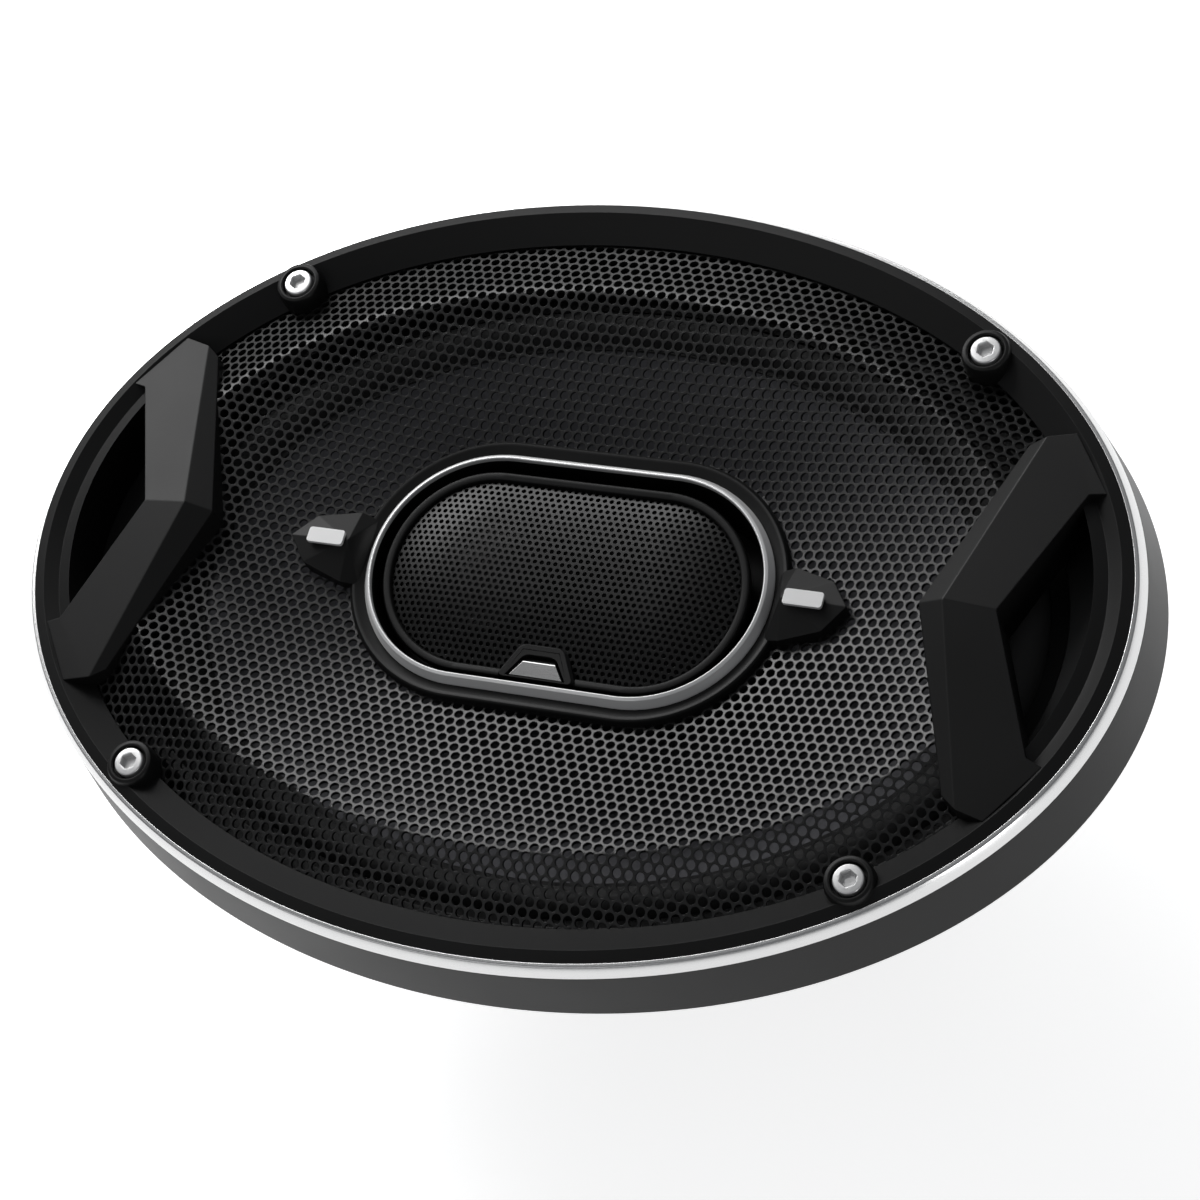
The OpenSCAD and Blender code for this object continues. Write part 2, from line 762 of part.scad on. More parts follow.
// The ring magnet
module magnet() {
    color([0.16, 0.16, 0.17])
        translate([0, 0, -back_plate_top])
            difference() {
                cylinder(h = back_plate_top - top_plate_bottom, r = magnet_radius);
                translate([0, 0, -1])
                    cylinder(h = back_plate_top, r = 22);
            }
}

// The back plate and pole, with the vent through them
module yoke() {
    color([0.6, 0.6, 0.62])
        translate([0, 0, -mounting_depth])
            difference() {
                union() {
                    cylinder(h = plate_thickness, r = magnet_radius - 3);
                    cylinder(h = mounting_depth - base_depth, r = pole_radius);
                }
                translate([0, 0, -1])
                    cylinder(h = mounting_depth, r = vent_radius);
            }
}

// The rubber boot round the magnet
module magnet_boot() {
    inner = magnet_radius + 0.15;
    foot = magnet_radius - 2.8;
    color(rubber_black)
        rotate_extrude()
            polygon([[inner, -top_plate_bottom - 0.5], [inner + 1.8, -top_plate_bottom - 0.5],
                [inner + 2, 1 - mounting_depth], [inner + 1, -mounting_depth],
                [foot, -mounting_depth], [foot, -back_plate_top - 0.15],
                [inner, -back_plate_top - 0.15]]);
}

// The hollow post from the pole to the swivel
module post() {
    top = pivot_height - stud_foot - 2;
    color(black_plastic)
        translate([0, 0, -base_depth])
            difference() {
                cylinder(h = base_depth + top, r = post_radius);
                translate([0, 0, -1])
                    cylinder(h = base_depth, r = vent_radius - 0.5);
            }
}

// The swivel's ball on its stud
module ball_stud() {
    color([0.7, 0.7, 0.72])
        translate([0, 0, pivot_height]) {
            sphere(r = ball_radius);
            translate([0, 0, -stud_foot])
                cylinder(h = stud_foot - 3, r = 3.2);
            translate([0, 0, -stud_foot - 2])
                cylinder(h = 2.5, r = post_radius + 1.5);
        }
}

// The liner between the ball and the pod's socket
module swivel_liner() {
    color([0.85, 0.85, 0.8])
        in_pod()
            difference() {
                sphere(r = liner_radius);
                sphere(r = liner_bore);
                translate([0, 0, -socket_mouth + 0.1 - 10])
                    cylinder(h = 10, r = 10);
            }
}

// The board that carries the two terminals
module terminal_board() {
    color([0.1, 0.1, 0.11])
        translate([0, -leg_length_y - 0.6, -skirt_depth - 10])
            difference() {
                cube([34, 2, 19.9], center = true);
                for (side = [-1, 1])
                    translate([side * 13, 0, 4])
                        rotate([90, 0, 0])
                            cylinder(h = 6, r = 1.6, center = true);
            }
}

// One bent blade terminal of a given width
module blade(width) {
    color([0.8, 0.72, 0.4])
        translate([-width / 2, -leg_length_y - 4.2, -skirt_depth - 16]) {
            cube([width, 2.59, 0.8]);
            translate([0, 0, -10])
                cube([width, 0.8, 10.8]);
        }
}

// The wide terminal
module terminal_large() {
    translate([-7, 0, 0])
        blade(6.3);
}

// The narrow terminal
module terminal_small() {
    translate([7, 0, 0])
        blade(4.8);
}

// The capacitor beside the basket's cup
module capacitor() {
    color([0.1, 0.25, 0.5])
        translate([0, -basket_cup_radius - 3.6, -spider_depth - 7.4])
            rotate([0, 90, 0])
                cylinder(h = 18, r = 5, center = true);
}

// A round bar from one point to another
module wire(from, to, radius) {
    run = to - from;
    translate(from)
        rotate([0, acos(run.z / norm(run)), atan2(run.y, run.x)])
            cylinder(h = norm(run), r = radius);
}

// The two flexible leads from the terminals to the cone
module cone_leads() {
    start_y = -leg_length_y + 1.1;
    end_y = -lead_y - 0.4;
    run = end_y - start_y;
    color([0.7, 0.5, 0.3])
        for (side = [-1, 1]) {
            stops = [[side * 8, start_y, -24], [side * 8.5, start_y + run * 0.24, -31],
                [side * 9, start_y + run * 0.48, -34], [side * 9.5, start_y + run * 0.69, -33],
                [side * lead_x, end_y, lead_z - eyelet_drop - 0.9]];
            for (i = [0 : 3])
                wire(stops[i], stops[i + 1], 0.8);
            for (i = [1 : 3])
                translate(stops[i])
                    sphere(r = 1.05);
        }
}

// The eyelets that the leads end in, behind the cone
module lead_eyelets() {
    color([0.75, 0.75, 0.75])
        for (side = [-1, 1])
            translate([side * lead_x, -lead_y, lead_z - eyelet_drop])
                cylinder(h = 2.2, r = 1.5);
}

// The cone, oval at its edge and round at its neck
module cone() {
    edge = rear_row(cone_inset, 0);
    land = rear_row(cone_inset + cone_land, 0);
    neck = circle_row(neck_radius, 0);
    up = [for (i = [0 : steps - 1]) [0, 0, 1]];
    top = cone_top;
    fall = cone_fall;
    color([0.13, 0.13, 0.14])
        loft_ring([
            edge + up * top,
            land + up * top,
            between_rows(land, neck, 0.35) + up * (top + fall * 0.42),
            between_rows(land, neck, 0.7) + up * (top + fall * 0.76),
            neck + up * (top + fall),
            neck + up * (top + fall - cone_sheet * 1.2),
            between_rows(land, neck, 0.7) + up * (top + fall * 0.76 - cone_sheet * 1.2),
            between_rows(land, neck, 0.35) + up * (top + fall * 0.42 - cone_sheet * 1.2),
            land + up * (top - cone_sheet),
            edge + up * (top - cone_sheet)]);
}

// The voice-coil former
module former() {
    bottom = -coil_middle - winding_half_height;
    color([0.8, 0.6, 0.3])
        translate([0, 0, bottom])
            difference() {
                cylinder(h = -bottom - neck_depth + 0.5, r = former_bore + former_wall);
                translate([0, 0, -1])
                    cylinder(h = 60, r = former_bore);
            }
}

// The voice-coil winding
module winding() {
    color([0.7, 0.35, 0.15])
        translate([0, 0, -coil_middle - winding_half_height])
            difference() {
                cylinder(h = 2 * winding_half_height, r = former_bore + former_wall + winding_wall);
                translate([0, 0, -1])
                    cylinder(h = 20, r = former_bore + former_wall);
            }
}

// The pod's shell with the socket for the swivel
module pod_housing() {
    color(black_plastic)
        in_pod()
            difference() {
                union() {
                    pod_ring_sweep()
                        polygon([[pod_radius - 0.6, shell_top], [pod_radius - 2.5, shell_top],
                            [pod_radius - 3.7, shell_floor + 2], [0, shell_floor + 2],
                            [0, shell_floor], [pod_radius - 2.7, shell_floor]]);
                    difference() {
                        sphere(r = socket_radius_out);
                        translate([0, 0, -socket_mouth - 20])
                            cylinder(h = 20, r = 20);
                        translate([0, 0, driver_height])
                            cylinder(h = 20, r = 20);
                    }
                }
                sphere(r = socket_bore);
                translate([0, 0, driver_height + 1])
                    linear_extrude(height = far)
                        button_outline(button_gap);
            }
}

// Outline of the button's bay, wider towards the rim
module bay_outline(grow) {
    slope = (bay_outer_width - bay_inner_width) / 2 / (pod_radius + bay_inner_y);
    polygon([[-bay_inner_width / 2 - grow, bay_inner_y + grow],
        [bay_inner_width / 2 + grow, bay_inner_y + grow],
        [bay_outer_width / 2 + grow + slope, -pod_radius - 1],
        [-bay_outer_width / 2 - grow - slope, -pod_radius - 1]]);
}

// The pod's rounded rim
module pod_rim() {
    low = rim_height - 1.8;
    color(black_plastic)
        in_pod()
            difference() {
                pod_ring_sweep()
                    polygon([[pod_radius, low], [pod_radius, rim_height - 0.8],
                        [pod_radius - 0.3, rim_height - 0.3], [pod_radius - 0.8, rim_height],
                        [pod_radius - 1.4, rim_height], [pod_radius - 1.9, rim_height - 0.3],
                        [pod_radius - 2.1, rim_height - 0.8], [pod_radius - 2.1, low]]);
                translate([0, 0, rim_height - 4])
                    linear_extrude(height = 8)
                        bay_outline(assembly_gap);
            }
}

// Height of the domed grille at one distance from the pod's centre line
function dome_height(reach) = rim_height - 1 + dome_crown * (1 - pow(reach / dome_edge, 2.6));

// The pod's pierced dome, drawn here as a plain thin sheet
module pod_dome() {
    sheet = 0.6;
    stops = [for (i = [0 : 9]) dome_edge * sin(i * 10)];
    color(steel_black)
        in_pod()
            difference() {
                pod_ring_sweep()
                    polygon(concat(
                        [for (reach = stops) [reach, dome_height(reach)]],
                        [[dome_edge, dome_height(dome_edge) - sheet]],
                        [for (i = [9 : -1 : 0]) [stops[i], dome_height(stops[i]) - sheet]]));
                translate([0, 0, rim_height - 6])
                    linear_extrude(height = 12)
                        bay_outline(assembly_gap);
            }
}

// The plate that carries the two high-frequency drivers
module driver_plate() {
    color(black_plastic)
        in_pod()
            translate([0, 0, driver_height])
                difference() {
                    pod_ring_sweep()
                        square([pod_radius - 3.1, 1]);
                    translate([large_dome_x, 0, -1])
                        cylinder(h = 3, r = large_dome_radius - 1.5);
                    translate([small_dome_x, 0, -1])
                        cylinder(h = 3, r = small_dome_radius - 1.5);
                }
}

// A thin domed diaphragm with a flat edge
module diaphragm(radius, crown) {
    ball = (radius * radius + crown * crown) / 2 / crown;
    sheet = 0.5;
    intersection() {
        difference() {
            translate([0, 0, crown - ball])
                sphere(r = ball);
            translate([0, 0, crown - ball])
                sphere(r = ball - sheet);
        }
        cylinder(h = crown + 1, r = radius + 1);
    }
}

// The larger high-frequency diaphragm
module large_dome() {
    color([0.2, 0.2, 0.22])
        in_pod()
            translate([large_dome_x, 0, driver_height + 1])
                diaphragm(large_dome_radius - 0.5, 3);
}

// The smaller high-frequency diaphragm
module small_dome() {
    color([0.75, 0.75, 0.77])
        in_pod()
            translate([small_dome_x, 0, driver_height + 1])
                diaphragm(small_dome_radius, 2);
}

// The drivers' magnets on the pod's floor
module driver_magnets() {
    low = shell_floor + 2;
    color([0.6, 0.6, 0.62])
        in_pod() {
            translate([large_dome_x, 0, low])
                cylinder(h = driver_height - low, r = 8.5);
            translate([small_dome_x, 0, low])
                cylinder(h = driver_height - low, r = 7);
        }
}

// Outline of the button, grown by a gap where it is cut from the bay
module button_outline(grow) {
    polygon([[-button_inner_width / 2 - grow, button_inner_y + grow],
        [button_inner_width / 2 + grow, button_inner_y + grow],
        [button_outer_width / 2 + grow * 1.3, button_outer_y - grow * 0.5],
        [-button_outer_width / 2 - grow * 1.3, button_outer_y - grow * 0.5]]);
}

// The raised bay round the level button
module button_bay() {
    low = driver_height + 1.05;
    color(black_plastic)
        in_pod()
            difference() {
                intersection() {
                    translate([0, 0, low])
                        linear_extrude(height = bay_top - low)
                            bay_outline(0);
                    union() {
                        translate([0, 0, low])
                            pod_ring_sweep()
                                square([pod_radius - 3.1, bay_top - low]);
                        translate([0, 0, shell_top + 0.05])
                            pod_ring_sweep()
                                square([pod_radius, bay_top - shell_top]);
                    }
                }
                translate([0, 0, low - 1])
                    linear_extrude(height = 8)
                        button_outline(button_gap);
            }
}

// The silver level button
module level_button() {
    low = driver_height + 1 + button_travel + button_gap;
    color(silver)
        in_pod()
            translate([0, 0, low])
                linear_extrude(height = bay_top - 0.3 - low)
                    button_outline(0);
}

grille_frame();
outer_trim();
grille_mesh();
pod_bezel();
pod_ring();
badge_plates();
screws();
basket_rim();
basket_legs();
basket_cup();
panel_gasket();
clamp_ring();
surround();
spider();
top_plate();
magnet();
yoke();
magnet_boot();
post();
ball_stud();
terminal_board();
terminal_large();
terminal_small();
capacitor();
cone_leads();
cone();
former();
winding();
lead_eyelets();
swivel_liner();
pod_housing();
pod_rim();
pod_dome();
driver_plate();
large_dome();
small_dome();
driver_magnets();
button_bay();
level_button();
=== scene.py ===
"""Finished look of the oval car speaker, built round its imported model.

Shapes are modelled in millimetres in the speaker's own frame and turned into metres when each
piece is finished. +Z points out of the front and +X is the long axis.
"""

import sys

import logging
import math
from contextlib import contextmanager
from dataclasses import dataclass, field
from enum import Enum
from typing import Callable, Iterator, Sequence

import bmesh
import bpy
import numpy as np
from mathutils import Matrix, Vector


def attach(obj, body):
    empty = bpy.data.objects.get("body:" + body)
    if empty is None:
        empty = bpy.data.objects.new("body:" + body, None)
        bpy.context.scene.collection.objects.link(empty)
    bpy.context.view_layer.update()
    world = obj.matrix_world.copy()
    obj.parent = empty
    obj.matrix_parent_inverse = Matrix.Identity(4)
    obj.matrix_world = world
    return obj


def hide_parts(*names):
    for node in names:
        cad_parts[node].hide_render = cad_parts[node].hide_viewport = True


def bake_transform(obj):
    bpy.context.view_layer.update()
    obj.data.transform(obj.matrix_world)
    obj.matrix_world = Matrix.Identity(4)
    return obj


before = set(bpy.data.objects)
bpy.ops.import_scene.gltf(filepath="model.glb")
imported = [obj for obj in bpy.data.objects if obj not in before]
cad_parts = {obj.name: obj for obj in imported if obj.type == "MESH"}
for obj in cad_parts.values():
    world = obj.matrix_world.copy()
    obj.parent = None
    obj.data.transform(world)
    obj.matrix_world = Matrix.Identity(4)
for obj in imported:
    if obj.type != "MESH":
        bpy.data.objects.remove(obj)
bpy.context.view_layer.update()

log = logging.getLogger("speaker")

MM = 0.001

# Main sizes, in millimetres
HALF_LENGTH = 123.0
HALF_WIDTH = 88.35
REAR_RATIO = 0.7
POD_STRAIGHT = 18.6
PIVOT_HEIGHT = -2.8
POD_TILT = math.radians(5.0)
FLOOR_HEIGHT = -84.0
SCREW_X = 80.05
SCREW_Y = 59.3

# Corners nearer than this, in millimetres, are one corner
MERGE_GAP = 0.002
# A corner within this distance of a place is taken to be at it
SAME_PLACE = 0.001

Row = tuple[float, float, float]
Point = tuple[float, float, float]
Colour = tuple[float, float, float, float]


class Body(Enum):
    """The moving bodies that pieces ride on."""

    SPEAKER = "speaker"
    CONE = "cone_assembly"
    POD = "pod"
    BUTTON = "button"


class Place(Enum):
    """Where a piece is modelled: in the speaker's frame or in the tilted pod's."""

    SPEAKER = "speaker"
    POD = "pod"


class End(Enum):
    """How a swept shape ends."""

    OPEN = "open"
    JOINED = "joined"
    FILLED = "filled"


# ---------------------------------------------------------------------------------------------
# Modelling bench
# ---------------------------------------------------------------------------------------------


def clear_selection() -> None:
    """Leaves object mode with nothing selected."""
    if bpy.context.object and bpy.context.object.mode != "OBJECT":
        bpy.ops.object.mode_set(mode="OBJECT")
    bpy.ops.object.select_all(action="DESELECT")


def select_only(obj: bpy.types.Object) -> None:
    """Leaves one object selected and active, in object mode."""
    clear_selection()
    obj.select_set(True)
    bpy.context.view_layer.objects.active = obj


def screw_places() -> tuple[tuple[float, float], ...]:
    """The four places of the screws, in X and Y."""
    return tuple((sx * SCREW_X, sy * SCREW_Y) for sx in (-1, 1) for sy in (-1, 1))


class Work:
    """One mesh on the bench, in millimetres until it is finished."""

    def __init__(self, name: str, obj: bpy.types.Object) -> None:
        """Takes over a mesh object.

        Args:
            name: The piece's name.
            obj: The mesh object.
        """
        self.obj = obj
        self.obj.name = name
        self.obj.data.name = name

    @classmethod
    def circle(cls, name: str, count: int, radius: float = 1.0, turn: float = 0.0) -> "Work":
        """Starts a piece from a ring of edges.

        Args:
            name: The piece's name.
            count: Number of corners.
            radius: Radius of the ring.
            turn: Turn of the first corner, in radians.

        Returns:
            The new piece.
        """
        clear_selection()
        bpy.ops.mesh.primitive_circle_add(vertices=count, radius=radius, rotation=(0, 0, turn))
        bpy.ops.object.transform_apply(location=False, rotation=True, scale=False)
        return cls(name, bpy.context.active_object)

    @classmethod
    def swept(cls, name: str, rows: Sequence[Row], count: int, end: End = End.JOINED,
              turn: float = 0.0) -> "Work":
        """Extrudes an oval ring through a list of rows.

        Args:
            name: The piece's name.
            rows: Half length, half width and height of each row.
            count: Number of corners round the ring.
            end: How the first and last rows are closed.
            turn: Turn of the first corner, in radians.

        Returns:
            The new piece.
        """
        work = cls.circle(name, count, turn=turn)
        with work.editing("EDGE"):
            bpy.ops.mesh.select_all(action="SELECT")
            bpy.ops.transform.resize(value=(rows[0][0], rows[0][1], 1), center_override=(0, 0, 0))
            bpy.ops.transform.translate(value=(0, 0, rows[0][2]))
            for before, row in zip(rows, rows[1:]):
                bpy.ops.mesh.extrude_edges_move()
                bpy.ops.transform.resize(
                    value=(row[0] / before[0], row[1] / before[1], 1), center_override=(0, 0, 0))
                bpy.ops.transform.translate(value=(0, 0, row[2] - before[2]))
            if end is End.FILLED:
                bpy.ops.mesh.edge_face_add()
            if end is End.JOINED:
                bpy.ops.mesh.select_all(action="DESELECT")
                bpy.ops.mesh.select_non_manifold()
                bpy.ops.mesh.bridge_edge_loops()
        return work

    @classmethod
    def stadium(cls, name: str, rows: Sequence[tuple[float, float]], count: int = 128,
                end: End = End.JOINED) -> "Work":
        """Sweeps a section round the pod's straight-sided outline.

        Args:
            name: The piece's name.
            rows: Radius and height of each row.
            count: Number of corners round the ring.
            end: How the rows are closed.

        Returns:
            The new piece.
        """
        work = cls.swept(name, [(r, r, z) for r, z in rows], count, end, math.pi / count)
        with work.editing("VERT"):
            for side in (-1, 1):
                work.pick(lambda p: p.x * side > 0)
                bpy.ops.transform.translate(value=(side * POD_STRAIGHT, 0, 0))
        return work

    @classmethod
    def loops(cls, name: str, loops: Sequence[Sequence[Point]], cap_first: bool = True,
              cap_last: bool = True, joined: bool = False) -> "Work":
        """Extrudes a cornered outline through placed loops.

        Args:
            name: The piece's name.
            loops: Corners of each loop, all with the same number of corners.
            cap_first: Whether the first loop gets a face.
            cap_last: Whether the last loop gets a face.
            joined: Whether the last loop is joined back to the first.

        Returns:
            The new piece.
        """
        count = len(loops[0])
        work = cls.circle(name, count)
        with work.editing("EDGE"):
            bpy.ops.mesh.select_all(action="SELECT")
            order = list(range(count))
            work.place_corners(order, loops[0])
            if cap_first and not joined:
                bpy.ops.mesh.edge_face_add()
            for loop in loops[1:]:
                mesh = bmesh.from_edit_mesh(work.obj.data)
                mesh.verts.ensure_lookup_table()
                before = [mesh.verts[i].co.copy() for i in order]
                bpy.ops.mesh.extrude_edges_move()
                mesh = bmesh.from_edit_mesh(work.obj.data)
                chosen = [v for v in mesh.verts if v.select]
                order = [min(chosen, key=lambda v: (v.co - co).length).index for co in before]
                work.place_corners(order, loop)
            if joined:
                bpy.ops.mesh.select_all(action="DESELECT")
                bpy.ops.mesh.select_non_manifold()
                bpy.ops.mesh.bridge_edge_loops()
            elif cap_last:
                bpy.ops.mesh.edge_face_add()
            bpy.ops.mesh.select_all(action="SELECT")
            bpy.ops.mesh.normals_make_consistent(inside=False)
        return work

    @classmethod
    def roofed(cls, name: str, outline: Sequence[Point], peak: Point, start: int,
               faces: Sequence[Sequence[int]], foot: float) -> "Work":
        """Builds a faceted roof over an outline, with upright sides.

        Args:
            name: The piece's name.
            outline: Corners of the roof's edge.
            peak: The roof's inner corner.
            start: Index of the edge's corner that the peak is drawn out of.
            faces: Corners of each facet, where the peak comes after the outline.
            foot: Height of the sides' lower edge.

        Returns:
            The new piece.
        """
        corners = [Vector(corner) for corner in (*outline, peak)]
        work = cls.loops(name, [outline], cap_first=False, cap_last=False)
        with work.editing("VERT"):
            work.pick(lambda p: (p - corners[start]).length < SAME_PLACE)
            bpy.ops.mesh.extrude_vertices_move(
                TRANSFORM_OT_translate={"value": tuple(corners[-1] - corners[start])})
            for face in faces:
                wanted = [corners[i] for i in face]
                work.pick(lambda p: any((p - w).length < SAME_PLACE for w in wanted))
                bpy.ops.mesh.edge_face_add()
            bpy.ops.mesh.select_all(action="SELECT")
            bpy.ops.mesh.normals_make_consistent(inside=False)
            bpy.ops.mesh.select_mode(type="EDGE")
            work.pick_edges(lambda e: e.is_boundary)
            bpy.ops.mesh.extrude_edges_move()
            bpy.ops.transform.resize(value=(1, 1, 0), center_override=(0, 0, foot))
            bpy.ops.mesh.edge_face_add()
            bpy.ops.mesh.select_all(action="SELECT")
            bpy.ops.mesh.normals_make_consistent(inside=False)
        return work

    def place_corners(self, order: Sequence[int], corners: Sequence[Point]) -> None:
        """Moves corners of the mesh under edit to their places, and keeps the selection.

        Args:
            order: Index of each corner.
            corners: Place of each corner.
        """
        mesh = bmesh.from_edit_mesh(self.obj.data)
        mesh.verts.ensure_lookup_table()
        for index, corner in zip(order, corners):
            mesh.verts[index].co = Vector(corner)
        bmesh.update_edit_mesh(self.obj.data)

    @contextmanager
    def editing(self, mode: str = "VERT") -> Iterator[None]:
        """Opens the mesh in edit mode with nothing selected.

        Args:
            mode: VERT, EDGE or FACE.

        Yields:
            Nothing, while the mesh is under edit.
        """
        select_only(self.obj)
        bpy.ops.object.mode_set(mode="EDIT")
        bpy.ops.mesh.select_mode(type=mode)
        bpy.ops.mesh.select_all(action="DESELECT")
        yield
        bpy.ops.object.mode_set(mode="OBJECT")

    def pick(self, test: Callable[[Vector], bool]) -> None:
        """Selects only the corners whose place passes a test.

        Args:
            test: Takes a place and says whether the corner there is wanted.
        """
        bpy.ops.mesh.select_all(action="DESELECT")
        mesh = bmesh.from_edit_mesh(self.obj.data)
        for corner in mesh.verts:
            corner.select = test(corner.co)
        mesh.select_flush_mode()
        bmesh.update_edit_mesh(self.obj.data)

    def pick_faces(self, test: Callable[[bmesh.types.BMFace], bool]) -> None:
        """Selects only the faces that pass a test.

        Args:
            test: Takes a face and says whether it is wanted.
        """
        bpy.ops.mesh.select_all(action="DESELECT")
        mesh = bmesh.from_edit_mesh(self.obj.data)
        for face in [face for face in mesh.faces if test(face)]:
            face.select = True
        bmesh.update_edit_mesh(self.obj.data)

    def pick_edges(self, test: Callable[[bmesh.types.BMEdge], bool]) -> None:
        """Selects only the edges that pass a test.

        Args:
            test: Takes an edge and says whether it is wanted.
        """
        bpy.ops.mesh.select_all(action="DESELECT")
        mesh = bmesh.from_edit_mesh(self.obj.data)
        for edge in [edge for edge in mesh.edges if test(edge)]:
            edge.select = True
        bmesh.update_edit_mesh(self.obj.data)

    def tidy_normals(self) -> "Work":
        """Merges doubles and turns every face outwards.

        Returns:
            This piece.
        """
        with self.editing("VERT"):
            bpy.ops.mesh.select_all(action="SELECT")
            bpy.ops.mesh.remove_doubles(threshold=MERGE_GAP)
            bpy.ops.mesh.normals_make_consistent(inside=False)
        return self

    def apply_modifier(self, kind: str, **settings: object) -> "Work":
        """Adds one modifier and applies it.

        Args:
            kind: The modifier's type.
            settings: Its settings.

        Returns:
            This piece.
        """
        select_only(self.obj)
        modifier = self.obj.modifiers.new(kind.lower(), kind)
        for key, value in settings.items():
            setattr(modifier, key, value)
        bpy.ops.object.modifier_apply(modifier=modifier.name)
        return self

    def soften(self, width: float = 0.25, angle: float = 24.0, segments: int = 2) -> "Work":
        """Rounds every edge sharper than an angle.

        Args:
            width: Width of the rounding.
            angle: Smallest angle that counts as sharp, in degrees.
            segments: Number of strips across the rounding.

        Returns:
            This piece.
        """
        return self.apply_modifier(
            "BEVEL", width=width, segments=segments, limit_method="ANGLE",
            angle_limit=math.radians(angle), use_clamp_overlap=True, miter_outer="MITER_ARC")

    def smooth(self, angle: float = 35.0) -> "Work":
        """Shades smooth across edges below an angle.

        Args:
            angle: The angle, in degrees.

        Returns:
            This piece.
        """
        select_only(self.obj)
        bpy.ops.object.shade_smooth_by_angle(angle=math.radians(angle))
        return self.apply_modifier("WEIGHTED_NORMAL", keep_sharp=True, weight=90)

    def join(self, *others: "Work") -> "Work":
        """Joins other pieces of the same moulding into this one.

        Args:
            others: The pieces to join.

        Returns:
            This piece.
        """
        clear_selection()
        for other in others:
            other.obj.select_set(True)
        self.obj.select_set(True)
        bpy.context.view_layer.objects.active = self.obj
        name = self.obj.name
        bpy.ops.object.join()
        self.obj.name = name
        return self

    def copy(self, name: str) -> "Work":
        """Copies the piece with its own mesh.

        Args:
            name: The copy's name.

        Returns:
            The copy.
        """
        twin = self.obj.copy()
        twin.data = self.obj.data.copy()
        bpy.context.scene.collection.objects.link(twin)
        return Work(name, twin)

    def mirrored(self, name: str) -> "Work":
        """Copies the piece to the other end of the long axis.

        Args:
            name: The copy's name.

        Returns:
            The mirrored copy.
        """
        twin = self.copy(name)
        twin.obj.data.transform(Matrix.Scale(-1, 4, Vector((1, 0, 0))))
        return twin.tidy_normals()

    def moved(self, x: float, y: float, z: float = 0.0) -> "Work":
        """Moves the whole mesh.

        Args:
            x: Move along X.
            y: Move along Y.
            z: Move along Z.

        Returns:
            This piece.
        """
        with self.editing("VERT"):
            bpy.ops.mesh.select_all(action="SELECT")
            bpy.ops.transform.translate(value=(x, y, z))
        return self

    def finish(self, finish: "Finish", place: Place = Place.SPEAKER) -> bpy.types.Object:
        """Sets the piece in the speaker's frame, in metres, and gives it its finish.

        Args:
            finish: The finish to wear.
            place: The frame it was modelled in.

        Returns:
            The finished object, at the origin.
        """
        select_only(self.obj)
        self.obj.scale = (MM, MM, MM)
        if place is Place.POD:
            self.obj.rotation_euler = (POD_TILT, 0, 0)
            self.obj.location = (0, 0, PIVOT_HEIGHT * MM)
        bpy.ops.object.transform_apply(location=True, rotation=True, scale=True)
        self.obj.data.materials.clear()
        self.obj.data.materials.append(finish.material())
        return self.obj


def stand_for(obj: bpy.types.Object, body: Body, slot: str, *nodes: str) -> None:
    """Puts a finished piece on its body, in place of the nodes it stands for.

    Args:
        obj: The finished piece.
        body: The body it rides on.
        slot: Name of a material slot; not used.
        nodes: The nodes it stands for.
    """
    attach(obj, body.value)
    if nodes:
        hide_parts(*nodes)
    log.info("%s: %d faces, on %s", obj.name, len(obj.data.polygons), body.value)


# ---------------------------------------------------------------------------------------------
# Finishes
# ---------------------------------------------------------------------------------------------


class Tree:
    """A node tree with short ways to add and join its nodes."""

    def __init__(self, tree: bpy.types.NodeTree) -> None:
        """Wraps a node tree.

        Args:
            tree: The tree to fill.
        """
        self.tree = tree

    def add(self, kind: str, label: str = "", **settings: object) -> bpy.types.Node:
        """Adds one node.

        Args:
            kind: The node's type.
            label: Its label.
            settings: Its settings.

        Returns:
            The new node.
        """
        node = self.tree.nodes.new(kind)
        node.label = label
        for key, value in settings.items():
            setattr(node, key, value)
        return node

    def link(self, start: bpy.types.NodeSocket, end: bpy.types.NodeSocket) -> None:
        """Joins two sockets."""
        self.tree.links.new(start, end)

    def math(self, operation: str, first: object, second: object = 0.0,
             clamp: bool = False) -> bpy.types.NodeSocket:
        """Adds a sum of two values.

        Args:
            operation: The operation's name.
            first: A socket or a number.
            second: A socket or a number.
            clamp: Whether the result stays between 0 and 1.

        Returns:
            The result's socket.
        """
        node = self.add("ShaderNodeMath", operation=operation, use_clamp=clamp)
        for socket, value in zip(node.inputs, (first, second)):
            if isinstance(value, bpy.types.NodeSocket):
                self.link(value, socket)
            else:
                socket.default_value = value
        return node.outputs[0]

    def between(self, share: bpy.types.NodeSocket, low: float, high: float) -> bpy.types.NodeSocket:
        """Spreads a 0 to 1 value over a range."""
        node = self.add("ShaderNodeMapRange")
        self.link(share, node.inputs["Value"])
        node.inputs["To Min"].default_value = low
        node.inputs["To Max"].default_value = high
        return node.outputs["Result"]

    def blend(self, share: bpy.types.NodeSocket, first: object, second: object) -> bpy.types.NodeSocket:
        """Mixes two colours.

        Args:
            share: How much of the second shows.
            first: A colour or a socket.
            second: A colour or a socket.

        Returns:
            The mixed colour's socket.
        """
        node = self.add("ShaderNodeMix", data_type="RGBA")
        self.link(share, node.inputs["Factor"])
        for socket, value in ((node.inputs[6], first), (node.inputs[7], second)):
            if isinstance(value, bpy.types.NodeSocket):
                self.link(value, socket)
            else:
                socket.default_value = value
        return node.outputs[2]


